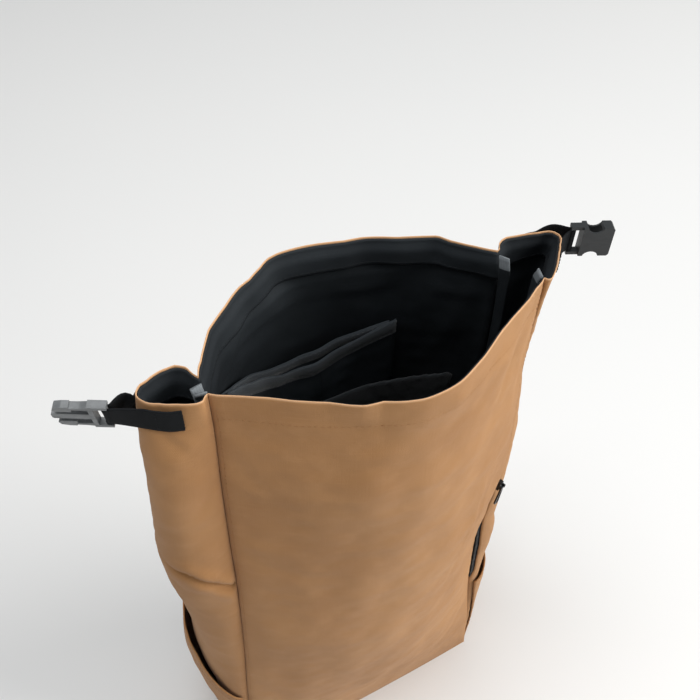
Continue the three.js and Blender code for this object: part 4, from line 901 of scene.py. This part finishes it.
def stitches(name, lines, look, slot, length=3.0, gap=1.3, width=0.55, height=0.45):
    """Short raised stitches along lines of (points, normals)."""
    vertices, faces, uv = [], [], []
    for points, normals in lines:
        total = run_along(points)
        at = 0.0
        while at + length < total[-1]:
            first, last = between(at, total, points), between(at + length, total, points)
            normal = between(at + length / 2, total, normals)
            normal /= np.linalg.norm(normal)
            forward = (last - first) / np.linalg.norm(last - first)
            side = np.cross(normal, forward) * width / 2
            base = len(vertices)
            vertices += [first - normal * 0.05, last - normal * 0.05]
            for share in (0.22, 0.78):
                middle = first + (last - first) * share
                vertices += [middle + side, middle + normal * height, middle - side,
                             middle - normal * 0.2]
            for k in range(4):
                m = (k + 1) % 4
                faces += [(base, base + 2 + m, base + 2 + k), (base + 1, base + 6 + k, base + 6 + m)]
                faces.append((base + 2 + k, base + 2 + m, base + 6 + m, base + 6 + k))
            uv += [(at, 0), (at + length, 0)] + [(at + 0.7, k * 0.3) for k in range(4)]
            uv += [(at + length - 0.7, k * 0.3) for k in range(4)]
            at += length + gap
    sheet(name, (vertices, faces, uv), look, slot)


def wall_line(name, height, inset, slack=None):
    """A line across a panel, facing into the bag where it lies deeper than the shell."""
    z = np.array([height / BAG_HEIGHT])
    share = np.linspace(0.02, 0.98, 90)
    extra = 0.0 if slack is None else slack(name, z, share)
    points, normals = on_wall(name, z, share, inset + extra)
    sign = -1 if inset > 1 else 1
    return points[0], normals[0] * sign


def seam_line(name, low, high, away):
    """A line up a panel, away mm from its first seam, or from its last if away is negative."""
    z = levels(low, high, 6)
    length = panel_length(name, z)
    share = away / length if away > 0 else 1 + away / length
    points, normals = on_wall(name, z, share[:, None], -0.05)
    return points[:, 0], normals[:, 0]


outer_hem = [wall_line(name, BAG_HEIGHT - HEM_DEPTH + 2, -0.02) for name in AROUND]
# Stitch rows beside the corner seams: panel, lowest point, way from the seam
SEAM_ROWS = (("front", 8, 3.4), ("front", 366, -3.4), ("back", 8, 3.4), ("back", 8, -3.4))
SEAM_ROWS_TOP = 590
seams = [seam_line(panel, low, SEAM_ROWS_TOP, away) for panel, low, away in SEAM_ROWS]
stitches("shell_stitches", outer_hem + seams, THREAD_TAN, "canvas", width=0.45, height=0.16)
inner_hem = [
    wall_line(name, BAG_HEIGHT - HEM_DEPTH + 3, FACING_IN + 0.02, slack=facing_slack)
    for name in AROUND
]
pocket_rows = [
    row_along(tablet, 1.8, 0.93), row_along(tablet, 9.0, 0.93), row_along(slip, 13.2, 0.73)
]
stitches("facing_stitches", inner_hem, THREAD_BLACK, "lining", width=0.5, height=0.3)
stitches("lining_stitches", pocket_rows, THREAD_GREY, "lining", width=0.6, height=0.35)


def divider(grids, share):
    """A stitched line down a pocket, from its mouth."""
    inner = grids[1]
    c = int(share * (inner.shape[1] - 1))
    line = inner[:, c]
    along = inner[:, c + 1] - inner[:, c - 1]
    normals = facing_front(np.cross(along, np.gradient(line, axis=0)))
    return line[::-1] + normals[::-1] * 0.1, normals[::-1]


stitches(
    "divider_stitches", [divider(tablet, 0.36), divider(tablet, 0.62), divider(slip, 0.4)],
    THREAD_BLACK, "lining", width=0.5, height=0.3,
)


# Padded laptop sleeve, back pad and shoulder straps
def bake(obj):
    """The object's mesh with its modifiers applied."""
    bpy.context.view_layer.update()
    graph = bpy.context.evaluated_depsgraph_get()
    mesh = bpy.data.meshes.new_from_object(obj.evaluated_get(graph), depsgraph=graph)
    look = obj.data.materials[0]
    obj.modifiers.clear()
    obj.data = mesh
    if not mesh.materials:
        mesh.materials.append(look)
    mesh.polygons.foreach_set("use_smooth", [True] * len(mesh.polygons))


def coordinates(mesh):
    flat = np.empty(len(mesh.vertices) * 3)
    mesh.vertices.foreach_get("co", flat)
    return flat.reshape(-1, 3)


CUSHION = {
    "use_pressure": True, "quality": 5, "mass": 0.2, "tension_stiffness": 18,
    "compression_stiffness": 12, "bending_stiffness": 0.6,
}
CUSHION_FRAMES = 20


def puffed(obj, voxel, pressure, cap, shape=None):
    """Fills a closed piece with air as a cloth cushion, then presses its channels in where a shape is
    given.
    """
    remesh = obj.modifiers.new("remesh", "REMESH")
    remesh.mode = "VOXEL"
    remesh.voxel_size = voxel * MM
    bake(obj)
    rest = coordinates(obj.data)
    cloth = obj.modifiers.new("cloth", "CLOTH")
    for key, value in CUSHION.items():
        setattr(cloth.settings, key, value)
    cloth.settings.uniform_pressure_force = pressure
    cloth.settings.effector_weights.gravity = 0
    cloth.collision_settings.use_collision = False
    scene = bpy.context.scene
    for number in range(1, CUSHION_FRAMES + 1):
        scene.frame_set(number)
    bake(obj)
    scene.frame_set(1)
    moved = coordinates(obj.data)
    step = moved - rest
    step -= step.mean(0)
    size = np.linalg.norm(step, axis=1)[:, None]
    step *= np.minimum(1, cap * MM / np.maximum(size, 1e-9))
    place = rest + step
    obj.data.vertices.foreach_set("co", place.ravel())
    subdivision = obj.modifiers.new("subdivision", "SUBSURF")
    subdivision.levels = subdivision.render_levels = 1
    bake(obj)
    if shape is not None:
        place = shape(coordinates(obj.data) / MM) * MM
        obj.data.vertices.foreach_set("co", place.ravel())
        obj.data.update()


def laptop_sleeve():
    share = np.linspace(LAPTOP_SPAN[0], LAPTOP_SPAN[1], 60)
    z = levels(6.0, LAPTOP_TOP, 7.0)
    rise = (z * BAG_HEIGHT - LAPTOP_FOOT) / (LAPTOP_TOP - LAPTOP_FOOT)
    slack = sag(share[None, :], LAPTOP_SPAN, rise[:, None])
    inset = LAPTOP_EDGE + (LAPTOP_MIDDLE - LAPTOP_EDGE) * slack + 0.25
    outer = on_wall("back", z, share, inset)[0]
    inner = on_wall("back", z, share, inset + LAPTOP_WALL - 0.5)[0]
    solid = cloth_solid(outer, inner, flat_uv("back", z, share), 0.6)
    obj = piece("laptop_sleeve_padding", *solid[:2], LINING_SOLID, "lining", ("laptop_sleeve",))
    puffed(obj, 3.4, 2.0, 0.6)


laptop_sleeve()

PAD_CHANNELS, CHANNEL_WIDTH, CHANNEL_DEPTH = (-38.0, 0.0, 38.0), 3.6, 3.4


def back_pad():
    share = np.linspace(PAD_SPAN[0] + 0.004, PAD_SPAN[1] - 0.004, 46)
    z = levels(PAD_FOOT + 1, PAD_TOP - 1, 7.0)
    up = z[:, None] * BAG_HEIGHT
    side = np.minimum(share - PAD_SPAN[0], PAD_SPAN[1] - share)[None, :] * PAD_RUN
    end = np.minimum(up - PAD_FOOT, PAD_TOP - up)
    edge = np.minimum(side, end)
    thick = (PAD_WALL - 0.8) * (0.45 + 0.55 * smooth(edge, 0, 13))
    outer = on_wall("back", z, share, -0.9 - thick)[0]
    inner = on_wall("back", z, share, -0.75)[0]
    solid = cloth_solid(outer, inner, flat_uv("back", z, share))

    def channels(place):
        x, y, height = place.T
        open_part = smooth(height, PAD_FOOT + 18, PAD_FOOT + 34)
        open_part = open_part * (1 - smooth(height, PAD_TOP - 34, PAD_TOP - 18))
        dip = sum(np.exp(-(((x - at) / CHANNEL_WIDTH) ** 2)) for at in PAD_CHANNELS) * open_part
        rib = 0.5 * np.sin(height / 9.0) * open_part
        outside = smooth(y, 60.5, 64.5)
        place = place.copy()
        place[:, 1] -= outside * (CHANNEL_DEPTH * dip + 0.35 * rib)
        return place

    obj = piece("back_pad_padding", *solid[:2], MESH_SOLID, "webbing", ("back_pad",))
    puffed(obj, 4.6, 4.0, 1.0, channels)


back_pad()


def spline(points, steps):
    """A centripetal Catmull-Rom curve through points, with steps samples between each two."""
    points = np.asarray(points, float)
    padded = np.concatenate([[2 * points[0] - points[1]], points, [2 * points[-1] - points[-2]]])
    out = []
    for i in range(len(points) - 1):
        p0, p1, p2, p3 = padded[i:i + 4]
        d0, d1, d2 = (np.sum((b - a) ** 2) ** 0.25 for a, b in ((p0, p1), (p1, p2), (p2, p3)))
        t1 = ((p1 - p0) / d0 - (p2 - p0) / (d0 + d1) + (p2 - p1) / d1) * d1
        t2 = ((p2 - p1) / d1 - (p3 - p1) / (d1 + d2) + (p3 - p2) / d2) * d1
        for k in range(steps):
            t = k / steps
            out.append(p1 + t1 * t + (-3 * p1 + 3 * p2 - 2 * t1 - t2) * t**2
                       + (2 * p1 - 2 * p2 + t1 + t2) * t**3)
    out.append(points[-1])
    return np.array(out)


def swept(path, across, sections):
    """Rings of points along a path. across gives the width's direction at each point."""
    rings = []
    ups = []
    for i, point in enumerate(path):
        forward = path[min(i + 1, len(path) - 1)] - path[max(i - 1, 0)]
        forward = forward / np.linalg.norm(forward)
        side = across[i] - forward * across[i].dot(forward)
        side = side / np.linalg.norm(side)
        up = np.cross(forward, side)
        rings.append(point + np.outer(sections[i][:, 0], side) + np.outer(sections[i][:, 1], up))
        ups.append((side, up))
    return np.array(rings), ups


def strip_section(half, thick):
    """A flat strip's outline with soft edges."""
    points = [(-half, 0), (-half + 0.35, thick * 0.85), (-half + 1.2, thick)]
    points += [(x, thick) for x in np.linspace(-half + 1.2, half - 1.2, 7)[1:-1]]
    points += [(half - 1.2, thick), (half - 0.35, thick * 0.85), (half, 0)]
    return np.array(points + [(a, -b) for a, b in points[-2:0:-1]])


def strip(name, path, across, width, wall, *replaces):
    """A length of webbing along a path, and the width's and the thickness's way at each point."""
    section = strip_section(width / 2, wall / 2)
    rings, ways = swept(path, across, [section] * len(path))
    rows, columns = rings.shape[:2]
    run = run_along(path)
    uv = np.stack([np.repeat(run, columns), np.tile(section[:, 0], rows)], -1)
    solid = (rings.reshape(-1, 3), tube_faces(rows, columns), uv)
    sheet(name, solid, WEBBING, "webbing", *replaces)
    return ways


UP = np.array([0.0, 0.0, 1.0])
BUCKLES = {  # x, y shares of half the width and half the depth, way ahead and lean in degrees
    "left": (-1.304, -0.241, 150.6, 12.0),
    "right": (1.33, -0.164, -25.4, 0.0),
}
LOOPS = {  # shares along the side panel where the rear and the front leg lie on it
    "left": ((0.22, 0.3, 0.38, 0.44), (0.58, 0.66, 0.74, 0.82)),
    "right": ((0.86, 0.78, 0.7, 0.63), (0.47, 0.41, 0.34)),
}
# How far the rear legs start lower, how far they bow outward, and the stitch rows from the middle
REAR_DROP, WEB_BULGE, WEB_SEAM = {"left": 5.0, "right": 4.0}, 2.5, 7.5


def buckle_frame(side):
    x, y, angle, lean = BUCKLES[side]
    angle, lean = math.radians(angle), math.radians(lean)
    ahead = np.array([math.cos(angle), math.sin(angle), 0])
    rearward = np.array([-ahead[1], ahead[0], 0])
    if rearward[1] < 0:
        rearward = -rearward
    rise = UP * math.cos(lean) - rearward * math.sin(lean)
    bar = np.array([x * HALF_WIDTH, y * HALF_DEPTH, WEB_TOP - WEB_WIDTH / 2])
    return bar, ahead, rise, rearward


def sewn_point(name, share, drop=0.0):
    """A point of the webbing's middle line on the cloth, and the way outward there."""
    heights = (WEB_TOP - drop - np.array([0, WEB_WIDTH / 2, WEB_WIDTH])) / BAG_HEIGHT
    points, normals = on_wall(name, heights, share)
    outward = normals[1, 0] / np.linalg.norm(normals[1, 0])
    middle = points[1, 0]
    stand = max((points[0, 0] - middle).dot(outward), (points[2, 0] - middle).dot(outward), 0)
    return middle + outward * (0.45 + WEB_WALL / 2 + stand), outward


web_lines = []
for side in ("left", "right"):
    bar, ahead, rise, rearward = buckle_frame(side)
    away = bar + ahead * BAR_THICK / 2
    bend = BAR_THICK / 2 + WEB_GAP + WEB_WALL / 2
    wrap = [away + ahead * math.cos(a) * bend + rearward * math.sin(a) * bend
            for a in np.radians([130, 90, 45, 0, -45, -90, -130])]
    rear = [sewn_point(side, share, REAR_DROP[side]) for share in LOOPS[side][0]]
    front = [sewn_point(side, share) for share in LOOPS[side][1]]
    bulge = (rear[-1][0] + wrap[0]) / 2 + (rearward + UP) * WEB_BULGE
    knots = [p for p, _ in rear] + [bulge] + wrap + [p for p, _ in front]
    path = spline(knots, 8)
    middle = 8 * (len(rear) + 4)
    across = []
    for i in range(len(path)):
        loose = max(abs(i - middle) - 24, 0) / 8
        t = min(max(1 - loose, 0), 1)
        across.append(UP * (1 - t) + rise * t)
    strip(f"{side}_webbing", path, across, WEB_WIDTH, WEB_WALL, f"{side}_webbing_loop")
    for ends in (rear, front):
        order = ends if ends is front else ends[::-1]
        first = 1 if len(order) > 3 else 0
        spans = [q + n * (WEB_WALL / 2 + 0.02) for q, n in order[first:]]
        normal = order[-1][1]
        for drop in (-WEB_SEAM, WEB_SEAM):
            line = np.array([q + UP * drop for q in spans])
            web_lines.append((line, np.array([n for _, n in order[first:]])))
        corner = [spans[-1] + UP * drop for drop in (-WEB_SEAM, WEB_SEAM)]
        inner = [spans[0] + UP * drop for drop in (-WEB_SEAM, WEB_SEAM)]
        for pair in ([corner[0], corner[1]], [inner[0], inner[1]], [inner[0], corner[1]],
                     [inner[1], corner[0]]):
            web_lines.append((np.array(pair), np.array([normal, normal])))
stitches("webbing_stitches", web_lines, THREAD_BLACK, "webbing", length=2.2, gap=0.9,
         width=0.5, height=0.35)


def shoulder_strap(side, name):
    path = STRAP_ROWS * np.array([side * HALF_WIDTH, HALF_DEPTH, BAG_HEIGHT])
    path = spline(path, 8)
    run = run_along(path)
    down = run / run[-1]
    turn = np.radians(side * (-20 + 34 * smooth(down, 0.2, 0.8)))
    across = np.column_stack([np.cos(turn), np.sin(turn), np.zeros(len(turn))])
    sections = []
    for d in down:
        width = STRAP_WIDTH / 2 * (0.75 + 0.25 * smooth(d, 0, 0.2) - 0.35 * smooth(d, 0.8, 1)) - 0.6
        thick = STRAP_THICK / 2 - 0.7
        ends = min(1.0, 0.55 + 8 * min(d, 1 - d))
        angle = np.linspace(0, 2 * math.pi, 29)[:-1]
        x = rounded(np.cos(angle), 0.5) * width
        y = rounded(np.sin(angle), 0.75) * thick * ends
        sections.append(np.column_stack([x, y]))
    rings, ways = swept(path, across, sections)
    rows, columns = rings.shape[:2]
    obj = piece(f"{name}_strap_padding", rings.reshape(-1, 3), tube_faces(rows, columns),
                CANVAS_SOLID, "canvas", (f"{name}_shoulder_strap",))
    puffed(obj, 4.2, 4.0, 0.9)
    obj.data.materials.append(MESH_SOLID)
    for face in obj.data.polygons:
        face.material_index = int(face.normal.y < -0.35)
    lines = []
    for edge in (-1, 1):
        for face in (-1, 1):
            points, normals = [], []
            for i in range(4, rows - 4):
                way, up = ways[i]
                half = abs(sections[i][:, 0]).max() - 5.5
                points.append(path[i] + way * half * edge + up * face * (STRAP_THICK / 2 - 0.75))
                normals.append(up * face)
            lines.append((np.array(points), np.array(normals)))
    stitches(f"{name}_strap_stitches", lines, THREAD_TAN, "canvas", width=0.7, height=0.5)


def lower_webbing(side, name):
    path = STRAP_ROWS[-1] * np.array([side * HALF_WIDTH, HALF_DEPTH, BAG_HEIGHT])
    place = path - UP * (ADJUSTER_HEIGHT / 2 + 3)
    share = 0.075 if side > 0 else 0.925
    thick = LOWER_WALL / 2
    under = 1.5 + 0.3 + thick
    top = ADJUSTER_HEIGHT / 2
    thread = ((-under, top + 2.2), (-under, top - 2), (-under, 9.4), (-0.35 * under, 7.2),
              (0.35 * under, 6.8), (under, 4.6), (under, -4.6), (0.35 * under, -6.8),
              (-0.35 * under, -7.2), (-under, -9.4), (-under, -top), (-1.1 * under, -top - 6))
    knots = [place + np.array([0, out, up]) for out, up in thread]
    knots += [place + np.array([-side * 6, -6, -60])]
    knots += [np.array([place[0] - side * 13, place[1], 84])]
    for height in (58, 44, 30, 18):
        points, _ = on_wall("back", np.array([height / BAG_HEIGHT]), share, -1.2 - thick)
        knots.append(points[0, 0])
    path = spline(knots, 5)
    near = on_wall("back", np.array([0.06]), share - 0.01)[0][0, 0]
    far = on_wall("back", np.array([0.06]), share + 0.01)[0][0, 0]
    along = near - far
    along[2] = 0
    along /= np.linalg.norm(along)
    t = smooth(np.linspace(0, 1, len(path)), 0.55, 0.72)[:, None]
    across = np.array([1.0, 0, 0]) * (1 - t) + along * t
    strip(f"{name}_lower_strap_webbing", path, across, LOWER_WIDTH, LOWER_WALL,
          f"{name}_lower_webbing")


for side, name in ((-1, "left"), (1, "right")):
    shoulder_strap(side, name)
    lower_webbing(side, name)


def haul_loop():
    level = np.array([HAUL_HEIGHT / BAG_HEIGHT])
    length = panel_length("back", level)[0]
    knots = []
    for x, stand in HAUL_ROWS:
        out = 0.6 + HAUL_WALL / 2 + 1 + stand * HAUL_REACH
        knots.append(on_wall("back", level, 0.5 - x / length, -out)[0][0, 0])
    path = spline(knots, 6)
    ways = strip("haul_webbing", path, [UP] * len(path), HAUL_WIDTH, HAUL_WALL, "haul_loop")
    lines = []
    for part in (slice(2, 14), slice(-14, -2)):
        points = path[part]
        out = np.array([way[1] for way in ways[part]])
        if out[len(out) // 2, 1] < 0:
            out = -out
        for rise in (-HAUL_SEAM, HAUL_SEAM):
            lines.append((points + UP * rise + out * HAUL_WALL / 2, out))
        for rise in (-HAUL_SEAM, HAUL_SEAM):
            cross = np.array([points[0] + UP * rise, points[-1] - UP * rise])
            lines.append((cross + out[0] * 1.3, out[:2]))
    stitches("haul_stitches", lines, THREAD_GREY, "webbing", length=2.6, gap=1.0)


haul_loop()


# Side pockets with a slanted, hemmed mouth
def side_pocket(name, front_first):
    count = 44
    across = np.linspace(0, 1, count + 1)
    rises = np.linspace(0, 1, 60)
    outer = np.empty((len(rises), count + 1, 3))
    inner = np.empty_like(outer)
    uv = np.empty((len(rises), count + 1, 2))
    edge_lines = []
    for c, a in enumerate(across):
        from_front = a if front_first else 1 - a
        top = POCKET_LOW + (POCKET_HIGH - POCKET_LOW) * from_front + 3
        up = POCKET_FOOT + (top - POCKET_FOOT) * rises
        z = up / BAG_HEIGHT
        seam = POCKET_SEAM / panel_length(name, z)
        share = seam + a * (1 - 2 * seam)
        belly = POCKET_BELLY * np.sin(math.pi * a) ** 0.8 * np.sin(math.pi / 2 * rises)
        belly = belly * (1 - 0.5 * smooth(rises, 0.7, 1.0))
        wrinkle = 0.8 * np.sin(a * 17 + up / 31) * np.sin(math.pi * a) * smooth(rises, 0.1, 0.6)
        stand = POCKET_STAND + 0.5 + belly + wrinkle * 0.6 + 0.5 * np.sin(math.pi * a)
        points, normals = on_wall(name, z, share[:, None], -stand[:, None])
        inner[:, c] = points[:, 0]
        outer[:, c] = on_wall(name, z, share[:, None], -stand[:, None] - 1.4)[0][:, 0]
        uv[:, c] = np.column_stack([share * POCKET_RUN, up])
        edge_lines.append(normals[:, 0])
    solid = cloth_solid(outer, inner, uv, 0.6)
    sheet(f"{name}_pocket_cloth", solid, CANVAS, "canvas", f"{name}_side_pocket")
    normals = np.stack(edge_lines, 1)
    lines = [(outer[row] + normals[row] * 0.02, normals[row]) for row in (-2, -6)]
    stitches(f"{name}_pocket_stitches", lines, THREAD_TAN, "canvas", width=0.6, height=0.3)


side_pocket("left", False)
side_pocket("right", True)


# Zipper tape with its coil in the opening
def zip_tape():
    z = levels(ZIP_FOOT + 0.04 * ZIP_LENGTH, ZIP_FOOT + 0.985 * ZIP_LENGTH, 2.0)
    length = panel_length("right", z)
    opening = zip_opening(z)
    width = np.maximum(opening - 0.5, 0.4)
    columns = np.linspace(0, 1, 7)
    share = (0.35 + width[:, None] * columns[None]) / length[:, None]
    dish = 0.5 + 0.7 * np.sin(math.pi * columns)[None] * np.minimum(width, 3)[:, None] / 3
    outer = on_wall("right", z, share, dish)[0]
    inner = on_wall("right", z, share, dish + 0.7)[0]
    solid = cloth_solid(outer, inner, flat_uv("right", z, share))
    sheet("zip_tape_cloth", solid, WEBBING, "webbing", "zip_tape")
    points, normals = on_wall("right", z, ((0.35 + width * 0.5) / length)[:, None], 0.15)
    centre = spline(points[:, 0], 2)
    run = run_along(centre)
    vertices, faces = [], []
    for at in np.arange(1.0, run[-1] - 6, COIL_PITCH):
        middle = between(at, run, centre)
        normal = normals[min(int(at / run[-1] * len(normals)), len(normals) - 1), 0]
        side = np.cross(normal, UP)
        side /= np.linalg.norm(side)
        room = float(np.interp(middle[2] / BAG_HEIGHT, z, width))
        half = min(1.5, room * 0.35)
        base = len(vertices)
        for up in (-COIL_HALF, COIL_HALF):
            for s, n in ((-half, 0), (-half * 0.6, 0.55), (half * 0.6, 0.55), (half, 0)):
                vertices.append(middle + UP * up + side * s + normal * n)
        faces += [(base, base + 1, base + 5, base + 4), (base + 1, base + 2, base + 6, base + 5),
                  (base + 2, base + 3, base + 7, base + 6), (base + 3, base, base + 4, base + 7),
                  (base + 3, base + 2, base + 1, base), (base + 4, base + 5, base + 6, base + 7)]
    piece("zip_coil", vertices, faces, PLASTIC, "webbing", soft=False)


zip_tape()


# Hard parts keep their CAD shape, with softened edges and their own finish
# The male buckle takes the lighter plastic with the painted highlight
HARD = {
    "zip_slider": (METAL, 0.35), "zip_puller": (METAL, 0.4), "male_buckle": (PLASTIC_PAINTED_HIGHLIGHT, 0.55),
    "female_buckle": (PLASTIC, 0.6), "left_strap_adjuster": (PLASTIC, 0.5),
    "right_strap_adjuster": (PLASTIC, 0.5),
}
for name, (look, radius) in HARD.items():
    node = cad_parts[name]
    if not node.material_slots:
        node.data.materials.append(look)
    for slot in node.material_slots:
        slot.material = look
    bevel = node.modifiers.new("soft_edges", "BEVEL")
    bevel.width = radius * MM
    bevel.segments = 3
    bevel.limit_method = "ANGLE"
    bevel.angle_limit = math.radians(32)
    bevel.harden_normals = False


# Light, floor and camera
def light(name, place, target, size, power, tint):
    lamp = bpy.data.lights.new(name, "AREA")
    lamp.shape = "DISK"
    lamp.size = size
    lamp.energy = power
    lamp.color = tint
    obj = bpy.data.objects.new(name, lamp)
    obj.location = place
    obj.rotation_euler = (Vector(target) - Vector(place)).to_track_quat("-Z", "Y").to_euler()
    bpy.context.scene.collection.objects.link(obj)


light("key_light", (3.7, -1.9, 2.5), (0, 0, 0.4), 3.0, 205, (1, 0.985, 0.96))
light("top_light", (-0.4, 0.0, 2.3), (0, 0, 0.3), 1.0, 22, (1, 1, 1))
light("fill_light", (1.7, -2.8, 1.5), (0, 0, 0.4), 2.4, 14, (0.97, 0.985, 1))
light("rear_light", (0.4, 2.4, 2.0), (0, 0, 0.4), 2.4, 7, (1, 1, 1))

world = bpy.data.worlds.new("studio")
bpy.context.scene.world = world
world.use_nodes = True
world.node_tree.nodes["Background"].inputs["Color"].default_value = (0.93, 0.95, 0.96, 1)
world.node_tree.nodes["Background"].inputs["Strength"].default_value = 0.33

FLOOR_REACH, FLOOR_DROP = 9, 0.0005
FLOOR = Nodes("pale_floor")
floor_space = FLOOR.add("ShaderNodeTexCoord").outputs["Object"]
FLOOR.join(
    FLOOR.mix(FLOOR.noise(floor_space, 1.2, 2.0), (0.80, 0.805, 0.805, 1), (0.83, 0.83, 0.825, 1)),
    FLOOR.shader.inputs["Base Color"],
)
FLOOR.shader.inputs["Roughness"].default_value = 0.9
floor_mesh = bpy.data.meshes.new("studio_floor")
corners = [(x * FLOOR_REACH, y * FLOOR_REACH, -FLOOR_DROP) for x, y in ((-1, -1), (1, -1), (1, 1), (-1, 1))]
floor_mesh.from_pydata(corners, [], [(0, 1, 2, 3)])
floor_mesh.materials.append(FLOOR.material)
floor = bpy.data.objects.new("studio_floor", floor_mesh)
bpy.context.scene.collection.objects.link(floor)

CAMERA_PLACE = Vector((-0.2145, -0.3798, 1.0289))
CAMERA_HEADING, CAMERA_DIP, CAMERA_ROLL = (0.4907, 0.8713), 48.0, 1.7
CAMERA_LENS, CAMERA_SENSOR = 45.0, 36.0
dip, roll = math.radians(CAMERA_DIP), math.radians(CAMERA_ROLL)
ahead = Vector((*(part * math.cos(dip) for part in CAMERA_HEADING), -math.sin(dip)))
level = Vector((CAMERA_HEADING[1], -CAMERA_HEADING[0], 0))
upward = level.cross(ahead)
right = level * math.cos(roll) + upward * math.sin(roll)
top = upward * math.cos(roll) - level * math.sin(roll)
camera_data = bpy.data.cameras.new("photo_camera")
camera_data.lens, camera_data.sensor_width = CAMERA_LENS, CAMERA_SENSOR
camera_data.clip_start = 0.02
camera = bpy.data.objects.new("photo_camera", camera_data)
turned = Matrix((right, top, -ahead)).transposed().to_4x4()
camera.matrix_world = Matrix.Translation(CAMERA_PLACE) @ turned
bpy.context.scene.collection.objects.link(camera)
bpy.context.scene.camera = camera
bpy.context.scene.view_settings.view_transform = "Standard"
